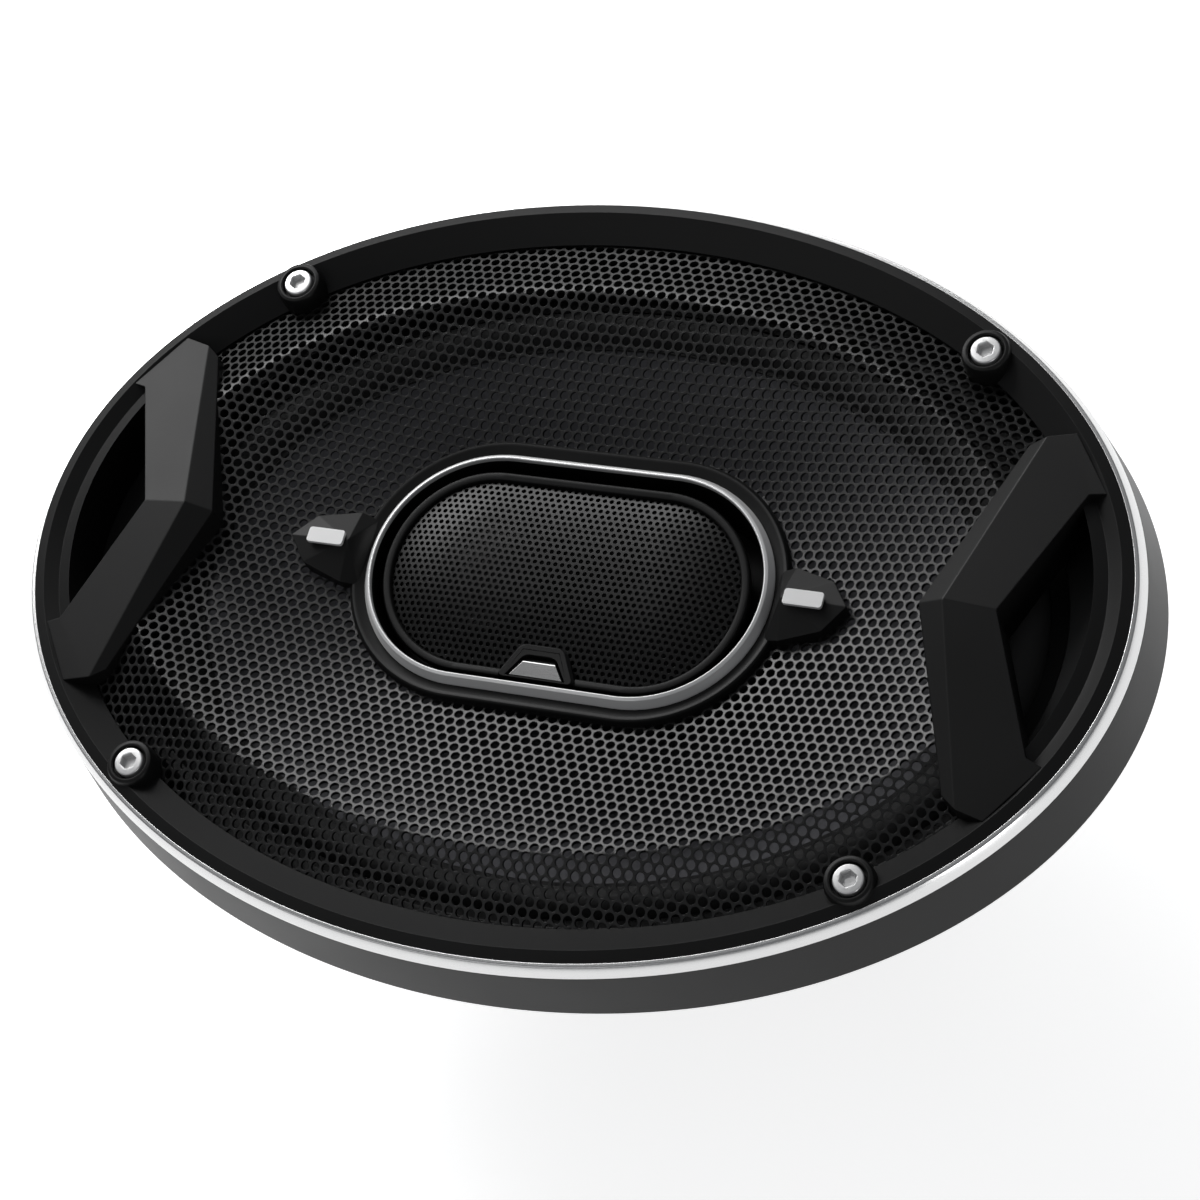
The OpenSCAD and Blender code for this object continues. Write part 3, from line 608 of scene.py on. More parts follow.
class Effects:
    """The node groups that more than one finish uses."""

    _made: dict[str, bpy.types.NodeTree] = {}

    @classmethod
    def _start(cls, name: str, inputs: Sequence[tuple[str, float]],
               outputs: Sequence[str]) -> tuple[Tree, bpy.types.Node, bpy.types.Node]:
        """Starts a group with named value sockets.

        Args:
            name: The group's name.
            inputs: Name and first value of each input.
            outputs: Name of each output.

        Returns:
            The tree, its input node and its output node.
        """
        group = bpy.data.node_groups.new(name, "ShaderNodeTree")
        for title, value in inputs:
            socket = group.interface.new_socket(title, in_out="INPUT", socket_type="NodeSocketFloat")
            socket.default_value = value
        for title in outputs:
            group.interface.new_socket(title, in_out="OUTPUT", socket_type="NodeSocketFloat")
        tree = Tree(group)
        cls._made[name] = group
        return tree, tree.add("NodeGroupInput"), tree.add("NodeGroupOutput")

    @classmethod
    def grain(cls) -> bpy.types.NodeTree:
        """Fine moulded or painted grain.

        Returns:
            A group that puts out the grain's height and a broad mottle.
        """
        if "surface_grain" in cls._made:
            return cls._made["surface_grain"]
        tree, start, end = cls._start(
            "surface_grain", [("Scale", 2500.0), ("Mottle Scale", 40.0)], ["Height", "Mottle"])
        place = tree.add("ShaderNodeTexCoord").outputs["Object"]
        fine = tree.add("ShaderNodeTexNoise", "fine grain")
        fine.inputs["Detail"].default_value = 3.0
        cells = tree.add("ShaderNodeTexVoronoi", "pits", feature="SMOOTH_F1")
        broad = tree.add("ShaderNodeTexNoise", "mottle")
        broad.inputs["Detail"].default_value = 4.0
        for node in (fine, cells, broad):
            tree.link(place, node.inputs["Vector"])
        tree.link(start.outputs["Scale"], fine.inputs["Scale"])
        tree.link(start.outputs["Scale"], cells.inputs["Scale"])
        tree.link(start.outputs["Mottle Scale"], broad.inputs["Scale"])
        height = tree.math("ADD", fine.outputs["Fac"],
                           tree.math("MULTIPLY", cells.outputs["Distance"], 0.5))
        tree.link(height, end.inputs["Height"])
        tree.link(broad.outputs["Fac"], end.inputs["Mottle"])
        return cls._made["surface_grain"]

    @classmethod
    def edge_wear_and_highlight_mask(cls) -> bpy.types.NodeTree:
        """Rubbed edges, which also stand in for a painted edge highlight.

        Returns:
            A group that puts out a mask of the outer edges, broken up by noise.
        """
        if "edge_wear_and_highlight_mask" in cls._made:
            return cls._made["edge_wear_and_highlight_mask"]
        tree, start, end = cls._start(
            "edge_wear_and_highlight_mask", [("Width", 0.0004), ("Breakup Scale", 180.0)], ["Mask"])
        place = tree.add("ShaderNodeTexCoord").outputs["Object"]
        rounded = tree.add("ShaderNodeBevel", "edge width", samples=4)
        tree.link(start.outputs["Width"], rounded.inputs["Radius"])
        surface = tree.add("ShaderNodeNewGeometry")
        agree = tree.add("ShaderNodeVectorMath", operation="DOT_PRODUCT")
        tree.link(rounded.outputs["Normal"], agree.inputs[0])
        tree.link(surface.outputs["Normal"], agree.inputs[1])
        edge = tree.add("ShaderNodeMapRange")
        tree.link(agree.outputs["Value"], edge.inputs["Value"])
        flat, sharp = 0.995, 0.90
        edge.inputs["From Min"].default_value = flat
        edge.inputs["From Max"].default_value = sharp
        noise = tree.add("ShaderNodeTexNoise", "breakup")
        tree.link(place, noise.inputs["Vector"])
        tree.link(start.outputs["Breakup Scale"], noise.inputs["Scale"])
        tree.link(tree.math("MULTIPLY", edge.outputs["Result"],
                            tree.between(noise.outputs["Fac"], 0.3, 1.0), clamp=True),
                  end.inputs["Mask"])
        return cls._made["edge_wear_and_highlight_mask"]


@dataclass(frozen=True)
class Finish:
    """A surface finish with grain, mottle, and lighter edges that are partly rubbed wear and partly a
    painted edge highlight.

    Attributes:
        name: The material's name.
        colour: Main colour.
        wear_and_edge_highlight_colour: Colour of the edges, partly rubbed wear and partly a painted
            edge highlight.
        metallic: How metallic the surface is.
        roughness: Lowest and highest roughness over the mottle.
        grain: Grain cells per metre.
        depth: Depth of the grain, in metres.
        mottle: Broad mottle patches per metre.
        shade: How far the mottle darkens the colour.
        wear_and_edge_highlight: How strongly the edges take that colour, as rubbed wear and as a
            painted edge highlight.
        specular: Strength of the surface reflection.
        sheen: Weight of the sheen.
        rounding: Width over which the edges look rounded, in metres.
    """

    name: str
    colour: Colour
    wear_and_edge_highlight_colour: Colour = (0.06, 0.06, 0.06, 1)
    metallic: float = 0.0
    roughness: tuple[float, float] = (0.4, 0.5)
    grain: float = 2500.0
    depth: float = 0.00002
    mottle: float = 40.0
    shade: float = 0.25
    wear_and_edge_highlight: float = 0.4
    specular: float = 0.5
    sheen: float = 0.0
    rounding: float = 0.0

    def material(self) -> bpy.types.Material:
        """Builds the material, or finds it if it is built already.

        Returns:
            The material.
        """
        found = bpy.data.materials.get(self.name)
        if found is not None:
            return found
        material = bpy.data.materials.new(self.name)
        material.use_nodes = True
        material.node_tree.nodes.clear()
        tree = Tree(material.node_tree)
        shader = tree.add("ShaderNodeBsdfPrincipled")
        output = tree.add("ShaderNodeOutputMaterial")
        tree.link(shader.outputs["BSDF"], output.inputs["Surface"])
        shader.inputs["Metallic"].default_value = self.metallic
        shader.inputs["Specular IOR Level"].default_value = self.specular
        shader.inputs["Sheen Weight"].default_value = self.sheen
        grain = tree.add("ShaderNodeGroup", "grain", node_tree=Effects.grain())
        grain.inputs["Scale"].default_value = self.grain
        grain.inputs["Mottle Scale"].default_value = self.mottle
        darker = tuple(c * (1 - self.shade) for c in self.colour[:3]) + (1.0,)
        base = tree.blend(grain.outputs["Mottle"], darker, self.colour)
        # Sharp edges take the lighter worn colour, partly as rubbed wear and partly as a painted edge
        # highlight.
        if self.wear_and_edge_highlight > 0:
            wear_and_edge_highlight = tree.add("ShaderNodeGroup", "edges", node_tree=Effects.edge_wear_and_highlight_mask())
            share = tree.math("MULTIPLY", wear_and_edge_highlight.outputs["Mask"], self.wear_and_edge_highlight)
            base = tree.blend(share, base, self.wear_and_edge_highlight_colour)
        tree.link(base, shader.inputs["Base Color"])
        tree.link(tree.between(grain.outputs["Mottle"], *self.roughness), shader.inputs["Roughness"])
        bump = tree.add("ShaderNodeBump")
        bump.inputs["Strength"].default_value = 1.0
        bump.inputs["Distance"].default_value = self.depth
        tree.link(grain.outputs["Height"], bump.inputs["Height"])
        if self.rounding > 0:
            rounded = tree.add("ShaderNodeBevel", "soft edges", samples=4)
            rounded.inputs["Radius"].default_value = self.rounding
            tree.link(rounded.outputs["Normal"], bump.inputs["Normal"])
        tree.link(bump.outputs["Normal"], shader.inputs["Normal"])
        return material


def grey(level: float, tint: float = 0.0) -> Colour:
    """A grey with a slight blue or warm tint.

    Args:
        level: Its brightness.
        tint: Share of blue added and red taken away.

    Returns:
        The colour.
    """
    return (level * (1 - tint), level, level * (1 + tint), 1.0)


SATIN_BLACK = Finish("satin_black_plastic", grey(0.0065), wear_and_edge_highlight_colour=grey(0.02), roughness=(0.38, 0.48),
                     grain=2600, depth=0.000008, specular=0.18, wear_and_edge_highlight=0.35)
MESH_PAINT = Finish("mesh_black_paint", grey(0.009), roughness=(0.3, 0.4), grain=3500,
                    depth=0.000006, specular=0.4, wear_and_edge_highlight=0.0, rounding=0.00016)
DOME_PAINT = Finish("dome_black_paint", grey(0.0055), roughness=(0.32, 0.42), grain=3500,
                    depth=0.000006, specular=0.27, wear_and_edge_highlight=0.0, rounding=0.0001)
BRIGHT_TRIM = Finish("satin_silver_trim", grey(0.62), wear_and_edge_highlight_colour=grey(0.8), metallic=1.0,
                     roughness=(0.21, 0.24), grain=4000, depth=0.0000008, shade=0.06, wear_and_edge_highlight=0.15)
RING_SATIN = Finish("pod_ring_satin", grey(0.72), wear_and_edge_highlight_colour=grey(0.9), metallic=0.3,
                    roughness=(0.28, 0.36), grain=4000, depth=0.000003, shade=0.1, wear_and_edge_highlight=0.4)
BADGE_SILVER = Finish("badge_satin_silver", grey(0.62), wear_and_edge_highlight_colour=grey(0.8), metallic=0.2,
                      roughness=(0.42, 0.52), grain=5000, depth=0.000004, shade=0.12, wear_and_edge_highlight=0.3)
BUTTON_SILVER = Finish("button_silver", grey(0.3), wear_and_edge_highlight_colour=grey(0.5), metallic=1.0,
                       roughness=(0.22, 0.26), grain=5000, depth=0.0000006, shade=0.1, wear_and_edge_highlight=0.15)
SCREW_STEEL = Finish("screw_bright_steel", grey(0.72), wear_and_edge_highlight_colour=grey(0.9), metallic=0.6,
                     roughness=(0.25, 0.38), grain=3000, depth=0.000006, shade=0.25, wear_and_edge_highlight=0.6)
BASKET_PAINT = Finish("basket_black_paint", grey(0.012), wear_and_edge_highlight_colour=grey(0.05), roughness=(0.36, 0.5),
                      grain=1800, depth=0.00002, specular=0.4, wear_and_edge_highlight=0.5)
FOAM = Finish("gasket_foam", grey(0.012), wear_and_edge_highlight_colour=grey(0.02), roughness=(0.85, 0.95), grain=1400,
              depth=0.00015, specular=0.15, wear_and_edge_highlight=0.1)
SURROUND_RUBBER = Finish("surround_rubber", grey(0.006), wear_and_edge_highlight_colour=grey(0.012),
                         roughness=(0.55, 0.68), grain=1600, depth=0.000015, specular=0.15,
                         wear_and_edge_highlight=0.1)
BOOT_RUBBER = Finish("boot_rubber", grey(0.013), wear_and_edge_highlight_colour=grey(0.03), roughness=(0.6, 0.75),
                     grain=1300, depth=0.00003, specular=0.3, wear_and_edge_highlight=0.3)
SPIDER_CLOTH = Finish("spider_cloth", (0.42, 0.26, 0.08, 1), wear_and_edge_highlight_colour=(0.5, 0.34, 0.14, 1),
                      roughness=(0.8, 0.92), grain=1500, depth=0.00012, specular=0.2, sheen=0.2)
MOTOR_STEEL = Finish("motor_plated_steel", grey(0.42, 0.03), wear_and_edge_highlight_colour=grey(0.7), metallic=1.0,
                     roughness=(0.28, 0.42), grain=1200, depth=0.00001, shade=0.3, wear_and_edge_highlight=0.5)
FERRITE = Finish("magnet_ferrite", grey(0.035), wear_and_edge_highlight_colour=grey(0.08), roughness=(0.5, 0.65),
                 grain=900, depth=0.00004, specular=0.4, wear_and_edge_highlight=0.5)
TERMINAL_BOARD = Finish("terminal_board", grey(0.015), wear_and_edge_highlight_colour=grey(0.04), roughness=(0.4, 0.55),
                        grain=900, depth=0.00002, wear_and_edge_highlight=0.4)
BRASS = Finish("terminal_brass", (0.72, 0.5, 0.2, 1), wear_and_edge_highlight_colour=(0.9, 0.72, 0.4, 1), metallic=1.0,
               roughness=(0.25, 0.4), grain=2200, depth=0.000006, shade=0.3, wear_and_edge_highlight=0.5)
CAPACITOR_FILM = Finish("capacitor_sleeve", (0.01, 0.03, 0.12, 1), wear_and_edge_highlight_colour=(0.05, 0.1, 0.25, 1),
                        roughness=(0.25, 0.35), grain=1500, depth=0.000005, wear_and_edge_highlight=0.3)
LEAD_COPPER = Finish("tinsel_lead", (0.62, 0.33, 0.16, 1), wear_and_edge_highlight_colour=(0.8, 0.5, 0.3, 1), metallic=1.0,
                     roughness=(0.4, 0.55), grain=5000, depth=0.00006, shade=0.4, wear_and_edge_highlight=0.2)
CONE_PULP = Finish("cone_pulp", grey(0.014), wear_and_edge_highlight_colour=grey(0.02), roughness=(0.6, 0.75), grain=900,
                   depth=0.00006, mottle=120, shade=0.4, specular=0.2, wear_and_edge_highlight=0.1)
FORMER_FILM = Finish("former_film", (0.55, 0.3, 0.08, 1), wear_and_edge_highlight_colour=(0.6, 0.4, 0.15, 1),
                     roughness=(0.3, 0.4), grain=2000, depth=0.000005, wear_and_edge_highlight=0.2)
LINER = Finish("swivel_liner_nylon", (0.7, 0.68, 0.6, 1), wear_and_edge_highlight_colour=(0.8, 0.8, 0.75, 1),
               roughness=(0.35, 0.45), grain=1500, depth=0.000006, wear_and_edge_highlight=0.2)
DARK_DIAPHRAGM = Finish("dark_diaphragm", grey(0.03), wear_and_edge_highlight_colour=grey(0.05), roughness=(0.3, 0.4),
                        grain=2500, depth=0.00001, wear_and_edge_highlight=0.2)
BRIGHT_DIAPHRAGM = Finish("smoked_diaphragm", grey(0.05), wear_and_edge_highlight_colour=grey(0.08), metallic=1.0,
                          roughness=(0.35, 0.45), grain=2500, depth=0.000004, wear_and_edge_highlight=0.2)


# ---------------------------------------------------------------------------------------------
# Front frame
# ---------------------------------------------------------------------------------------------


def lip_row(offset: float, height: float) -> Row:
    """A row round the lip oval.

    Args:
        offset: Distance outside the lip's outer edge.
        height: Height above the panel.

    Returns:
        The row.
    """
    return (HALF_LENGTH + offset, HALF_WIDTH + offset, height)


@dataclass
class FrontFrame:
    """The moulded front frame: wall, lip, slope, side openings, chevrons and screw bosses."""

    steps: int = 288
    opening_reach: float = 33.5
    slope: tuple[tuple[float, float], ...] = (
        (3.65, 0.0), (1.63, 14.5), (0.4, 14.5), (-0.75, 16.5), (-0.75, 17.48), (-3.08, 18.34),
        (-5.0, 17.02), (-9.03, 14.24), (-9.03, 13.84), (-6.6, 13.84), (-3.0, 16.2),
        (-1.9, 15.6), (-0.6, 12.5), (1.6, 0.0))
    gutter: tuple[tuple[float, float], ...] = (
        (-6.0, 16.6), (-8.8, 17.6), (-8.8, 3.2), (-7.2, 3.2), (-7.0, 15.4))
    gutter_start: int = 6

    def ring(self) -> Work:
        """The ring with its lip, and a gutter beside each side opening.

        Returns:
            The ring.
        """
        work = Work.swept("front_frame", [lip_row(*p) for p in self.slope], self.steps)
        with work.editing("VERT"):
            for step, (offset, height) in enumerate(self.gutter):
                old = lip_row(*self.slope[self.gutter_start + step])
                new = lip_row(offset, height)
                work.pick(lambda p: abs(p.z - old[2]) < SAME_PLACE
                          and abs((p.x / old[0]) ** 2 + (p.y / old[1]) ** 2 - 1) < 1e-4
                          and abs(p.y) < self.opening_reach * old[1] / 79.55)
                bpy.ops.transform.resize(
                    value=(new[0] / old[0], new[1] / old[1], 1), center_override=(0, 0, 0))
                bpy.ops.transform.translate(value=(0, 0, new[2] - old[2]))
        return work.tidy_normals().soften(0.22, 22, 2)

    def ledge(self) -> Work:
        """The ledge inside the foot of the wall, which reaches in over the basket's flange.

        Returns:
            The ledge.
        """
        section = ((2.2, 0.25), (2.2, 1.3), (-8.0, 1.3), (-8.0, 0.25))
        return Work.swept("ledge", [lip_row(*p) for p in section], self.steps).tidy_normals()

    def chevron(self) -> Work:
        """The faceted bridge at the +X end.

        Returns:
            The bridge.
        """
        foot, inner, outer = (93.7, 39.0, 18.2), (97.0, 41.5, 18.4), (103.0, 43.0, 18.2)
        lip, void = (112.0, 30.0, 18.2), (108.6, 29.0, 19.2)
        back, tip, ridge = (96.6, 0.0, 22.2), (80.2, 0.0, 20.8), (85.8, 0.0, 24.1)
        near = [(x, -y, z) for x, y, z in (foot, inner, outer, lip, void)]
        outline = near + [back, void, lip, outer, inner, foot, tip]
        faces = ((11, 10, 9, 12), (12, 9, 6, 5), (6, 9, 8, 7), (11, 12, 1, 0), (12, 5, 4, 1),
                 (4, 3, 2, 1))
        work = Work.roofed("chevron", outline, ridge, outline.index(tip), faces, 8.0)
        return work.soften(0.28, 8, 2)

    def boss(self) -> Work:
        """One screw boss with its counterbore.

        Returns:
            The boss, at the centre.
        """
        rows = ((5.7, 3.2), (5.35, 17.6), (5.15, 18.7), (4.85, 19.2), (4.45, 19.35), (4.05, 19.3),
                (3.8, 19.05), (3.75, 18.6), (3.75, 17.4), (2.25, 17.3), (2.25, 3.2))
        return Work.swept("boss", [(r, r, z) for r, z in rows], 64).tidy_normals()

    def build(self) -> None:
        """Models the frame and puts it in its place."""
        ring = self.ring()
        right = self.chevron()
        left = right.mirrored("chevron_left")
        boss = self.boss()
        bosses = [boss.copy(f"boss_{index}").moved(*place)
                  for index, place in enumerate(screw_places())]
        bpy.data.objects.remove(boss.obj)
        ring.join(self.ledge(), right, left, *bosses).smooth(30)
        stand_for(ring.finish(SATIN_BLACK), Body.SPEAKER, "satin_black", "grille_frame")


@dataclass
class LipTrim:
    """The bright band round the outside of the lip."""

    steps: int = 288
    section: tuple[tuple[float, float], ...] = (
        (1.63, 14.6), (0.5, 14.6), (-0.65, 16.5), (-0.65, 17.4), (-0.05, 17.38), (0.3, 17.2),
        (0.62, 16.75), (1.15, 15.85))

    def build(self) -> None:
        """Models the band and puts it in its place."""
        work = Work.swept("lip_trim", [lip_row(*p) for p in self.section], self.steps)
        work.tidy_normals().soften(0.12, 30, 2).smooth(40)
        stand_for(work.finish(BRIGHT_TRIM), Body.SPEAKER, "bright_trim", "outer_trim")


# ---------------------------------------------------------------------------------------------
# Pierced sheets
# ---------------------------------------------------------------------------------------------


@dataclass
class PiercedSheet:
    """A thin sheet with round holes on a triangular grid."""

    name: str
    pitch: float
    hole: float
    half_x: float
    half_y: float
    thickness: float

    def flat(self, keep: Callable[[np.ndarray, np.ndarray], np.ndarray]) -> Work:
        """Models the flat sheet.

        Args:
            keep: Takes the centres of the cells and says which ones stay.

        Returns:
            The flat sheet, without thickness.
        """
        corner = self.pitch / math.sqrt(3)
        row = self.pitch * math.sqrt(3) / 2
        work = Work.circle(self.name, 12, self.hole)
        with work.editing("EDGE"):
            bpy.ops.mesh.select_all(action="SELECT")
            bpy.ops.mesh.extrude_edges_move()
            bpy.ops.transform.resize(value=(corner / self.hole,) * 3, center_override=(0, 0, 0))
        with work.editing("VERT"):
            work.pick(lambda p: p.length > self.hole * 1.05 and round(
                math.degrees(math.atan2(p.x, p.y)) / 30) % 2 == 1)
            shrink = math.cos(math.pi / 6)
            bpy.ops.transform.resize(value=(shrink, shrink, shrink), center_override=(0, 0, 0))
            bpy.ops.mesh.select_all(action="SELECT")
            bpy.ops.mesh.duplicate_move(
                TRANSFORM_OT_translate={"value": (self.pitch / 2, row, 0)})
        across = 2 * math.ceil(self.half_x / self.pitch)
        up = 2 * math.ceil(self.half_y / (2 * row))
        work.apply_modifier("ARRAY", count=across, use_relative_offset=False,
                            use_constant_offset=True, constant_offset_displace=(self.pitch, 0, 0))
        work.apply_modifier("ARRAY", count=up, use_relative_offset=False,
                            use_constant_offset=True, constant_offset_displace=(0, 2 * row, 0))
        work.moved(-across * self.pitch / 2, -up * row)
        faces = work.obj.data.polygons
        centres = np.zeros(len(faces) * 3)
        faces.foreach_get("center", centres)
        cells = centres.reshape(-1, 12, 3).mean(axis=1)
        stays = keep(cells[:, 0], cells[:, 1])
        with work.editing("FACE"):
            mesh = bmesh.from_edit_mesh(work.obj.data)
            for face in mesh.faces:
                face.select = not stays[face.index // 12]
            bmesh.update_edit_mesh(work.obj.data)
            bpy.ops.mesh.delete(type="FACE")
            bpy.ops.mesh.select_all(action="SELECT")
            bpy.ops.mesh.remove_doubles(threshold=0.02)
            bpy.ops.mesh.normals_make_consistent(inside=False)
        if sum(face.normal.z for face in work.obj.data.polygons) < 0:
            with work.editing("FACE"):
                bpy.ops.mesh.select_all(action="SELECT")
                bpy.ops.mesh.flip_normals()
        return work

    def drape(self, work: Work, shape: Work) -> Work:
        """Presses the flat sheet onto a shape and gives it its thickness.

        Args:
            work: The flat sheet.
            shape: The shape to press it on.

        Returns:
            The finished sheet.
        """
        work.apply_modifier("SHRINKWRAP", target=shape.obj, wrap_method="PROJECT",
                            use_project_z=True, use_positive_direction=True,
                            use_negative_direction=True)
        return work.apply_modifier("SOLIDIFY", thickness=self.thickness, offset=-1)


def inside_stadium(x: np.ndarray, y: np.ndarray, radius: float) -> np.ndarray:
    """Says which points lie inside the pod's outline.

    Args:
        x: Places along X.
        y: Places along Y.
        radius: Radius of the outline's round ends.

    Returns:
        True for each point inside.
    """
    return np.hypot(np.maximum(np.abs(x) - POD_STRAIGHT, 0), y) < radius


def inside_oval(x: np.ndarray, y: np.ndarray, inset: float) -> np.ndarray:
    """Says which points lie inside the lip oval, inset by a distance."""
    return (x / (HALF_LENGTH - inset)) ** 2 + (y / (HALF_WIDTH - inset)) ** 2 < 1


@dataclass
class Grille:
    """The pierced front grille with its raised crease."""

    pitch: float = 2.43
    hole: float = 0.99
    thickness: float = 0.8
    crease_inset: float = 23.4
    split_inset: float = 30.0
    edge_inset: float = 7.2
    inner_height: float = 8.2
    pod_gap: float = 29.8
    boss_gap: float = 4.6
    foot_height: float = 13.64
    crease_height: float = 18.95

    def dish(self) -> Work:
        """The smooth shape that the sheet is pressed on.

        Returns:
            The shape: a band that rises to the crease, and a dish inside it.
        """
        rise = (self.crease_height - self.foot_height) / (self.crease_inset - 9.03)
        rows = [lip_row(-4.8, self.foot_height - 4.23 * rise),
                lip_row(-9.03, self.foot_height),
                lip_row(-self.crease_inset + 3.5, self.crease_height - 3.5 * rise),
                lip_row(-self.crease_inset + 1.4, self.crease_height - 1.4 * rise - 0.05),
                lip_row(-self.crease_inset, self.crease_height - 0.25),
                lip_row(-self.crease_inset - 1.6, self.crease_height - 0.55)]
        outer = Work.swept("dish_band", rows, 192, End.OPEN)
        inner = Work.stadium("dish_floor", [(31.5, self.inner_height + 0.25),
                                            (27.6, self.inner_height - 0.25)], 192, End.OPEN)
        outer.join(inner)
        edge = self.crease_height - 0.55
        with outer.editing("EDGE"):
            outer.pick_edges(lambda e: e.is_boundary and (
                all(abs(v.co.z - edge) < SAME_PLACE for v in e.verts)
                or all(abs(v.co.z - self.inner_height - 0.25) < SAME_PLACE for v in e.verts)))
            bpy.ops.mesh.bridge_edge_loops(number_cuts=12, interpolation="LINEAR")
        return outer

    def free(self, x: np.ndarray, y: np.ndarray) -> np.ndarray:
        """Says which places the grille's sheet covers.

        Args:
            x: Places along X.
            y: Places along Y.

        Returns:
            True where there is sheet.
        """
        side, up = np.abs(x), np.abs(y)
        keep = inside_oval(x, y, self.edge_inset) & ~inside_stadium(x, y, self.pod_gap)
        keep &= ~((side > 44) & (side < 61.5) & (up < 6.6 * np.clip((62.5 - side) / 4.5, 0, 1)))
        foot = 80.6 + (93.9 - 80.6) * up / 39.0
        keep &= ~((side > foot + 0.8) & (up < 41.5))
        for screw_x, screw_y in screw_places():
            keep &= np.hypot(x - screw_x, y - screw_y) > self.boss_gap
        return keep

    def build(self) -> None:
        """Models the sheet in an outer band and an inner dish, and puts them in place."""
        dish = self.dish()
        for name, outside in (("grille_outer_band", True), ("grille_inner_dish", False)):
            sheet = PiercedSheet(name, self.pitch, self.hole, 121, 85, self.thickness)
            flat = sheet.flat(lambda x, y: self.free(x, y) & (
                ~inside_oval(x, y, self.split_inset) if outside
                else inside_oval(x, y, self.split_inset)))
            work = sheet.drape(flat, dish)
            nodes = ("grille_mesh",) if outside else ()
            stand_for(work.finish(MESH_PAINT), Body.SPEAKER, "mesh_steel", *nodes)
        bpy.data.objects.remove(dish.obj)


# ---------------------------------------------------------------------------------------------
# Pod surround
# ---------------------------------------------------------------------------------------------


@dataclass
class PodSurround:
    """The black bezel with its ears, the bright ring and the two plain plates."""

    bezel: tuple[tuple[float, float], ...] = (
        (31.0, 8.3), (30.9, 9.3), (30.55, 9.85), (30.1, 10.1), (29.3, 10.05), (27.75, 9.3),
        (27.55, 9.1), (26.95, 9.1), (26.5, 9.85), (26.0, 10.5), (25.52, 10.5), (25.52, -7.5),
        (12.0, -7.5), (12.0, -9.0), (26.4, -9.0), (27.4, -8.0), (28.4, 6.4), (29.4, 8.3))
    ring: tuple[tuple[float, float], ...] = (
        (27.5, 9.2), (27.42, 9.7), (26.55, 11.3), (26.35, 11.55), (26.05, 11.72), (25.75, 11.68),
        (25.58, 11.5), (25.5, 11.2), (25.5, 10.6), (26.05, 10.6), (26.6, 9.9), (27.0, 9.2))
    plate: tuple[float, float, float] = (8.6, 3.6, 0.9)
    plate_x: float = 54.6

    def ear(self) -> Work:
        """One ear, at the +X end.

        Returns:
            The ear.
        """
        outline = [(46.5, -8.0, 9.6), (50.1, -8.5, 11.5), (59.3, -5.7, 13.1), (63.6, 0, 14.1),
                   (59.3, 5.7, 13.1), (50.1, 8.5, 11.5), (46.5, 8.0, 9.6)]
        count = len(outline)
        faces = [(i, (i + 1) % count, count) for i in range(count)]
        work = Work.roofed("ear", outline, (49.5, 0.0, 15.0), 0, faces, 8.4)
        return work.soften(0.22, 5, 2)

    def build(self) -> None:
        """Models the surround and puts it in its place."""
        bezel = Work.stadium("pod_bezel_shell", self.bezel, 160).tidy_normals().soften(0.15, 40, 1)
        right = self.ear()
        left = right.mirrored("ear_left")
        bezel.join(right, left).smooth(30)
        stand_for(bezel.finish(SATIN_BLACK), Body.SPEAKER, "satin_black", "pod_bezel")
        ring = Work.stadium("pod_bright_ring", self.ring, 160).tidy_normals().smooth(50)
        stand_for(ring.finish(RING_SATIN), Body.SPEAKER, "bright_trim", "pod_ring")
        for side, end in ((-1, "left"), (1, "right")):
            half_x, half_y, high = self.plate[0] / 2, self.plate[1] / 2, self.plate[2]
            base = [(-half_x, -half_y), (half_x, -half_y), (half_x, half_y), (-half_x, half_y)]
            plate = Work.loops(f"badge_plate_{end}", [
                [(x, y, -0.5) for x, y in base], [(x, y, high - 0.5) for x, y in base]])
            with plate.editing("EDGE"):
                plate.pick_edges(lambda e: abs(e.verts[0].co.z - e.verts[1].co.z) > 0.3)
                bpy.ops.mesh.bevel(offset=0.7, segments=4)
            plate.soften(0.18, 30, 2).smooth(30)
            plate.moved(side * self.plate_x, 0, 15.35)
            nodes = ("badge_plates",) if side < 0 else ()
            stand_for(plate.finish(BADGE_SILVER), Body.SPEAKER, "bright_trim", *nodes)


@dataclass
class FixingScrews:
    """The four button-head screws."""

    socket: float = 1.75

    def screw(self) -> Work:
        """One screw at the centre, with a six-sided socket.

        Returns:
            The screw.
        """
        rows = ((1.9, -14.0), (1.9, 17.4), (3.15, 17.4), (3.2, 17.6), (3.2, 19.1), (3.1, 19.4),
                (2.85, 19.6), (2.1, 19.65))
        work = Work.swept("screw", [(r, r, z) for r, z in rows], 48, End.OPEN)
        well = Work.swept("socket", [(self.socket * 1.12, self.socket * 1.12, 19.65),
                                     (self.socket, self.socket, 19.4),
                                     (self.socket, self.socket, 18.1)], 6, End.FILLED)
        work.join(well)
        with work.editing("EDGE"):
            work.pick_edges(lambda e: e.is_boundary and all(abs(v.co.z - 19.65) < SAME_PLACE
                                                            for v in e.verts))
            bpy.ops.mesh.bridge_edge_loops()
            work.pick_edges(lambda e: e.is_boundary and all(v.co.z < -13 for v in e.verts))
            bpy.ops.mesh.edge_face_add()
        return work.tidy_normals()

    def build(self) -> None:
        """Models one screw and copies it to its four places."""
        screw = self.screw().soften(0.08, 35, 2).smooth(35)
        for index, place in enumerate(screw_places()):
            twin = screw.copy(f"fixing_screw_{index + 1}").moved(*place)
            nodes = ("screws",) if index == 0 else ()
            stand_for(twin.finish(SCREW_STEEL), Body.SPEAKER, "screw_steel", *nodes)
        bpy.data.objects.remove(screw.obj)


# ---------------------------------------------------------------------------------------------
# Pod
# ---------------------------------------------------------------------------------------------


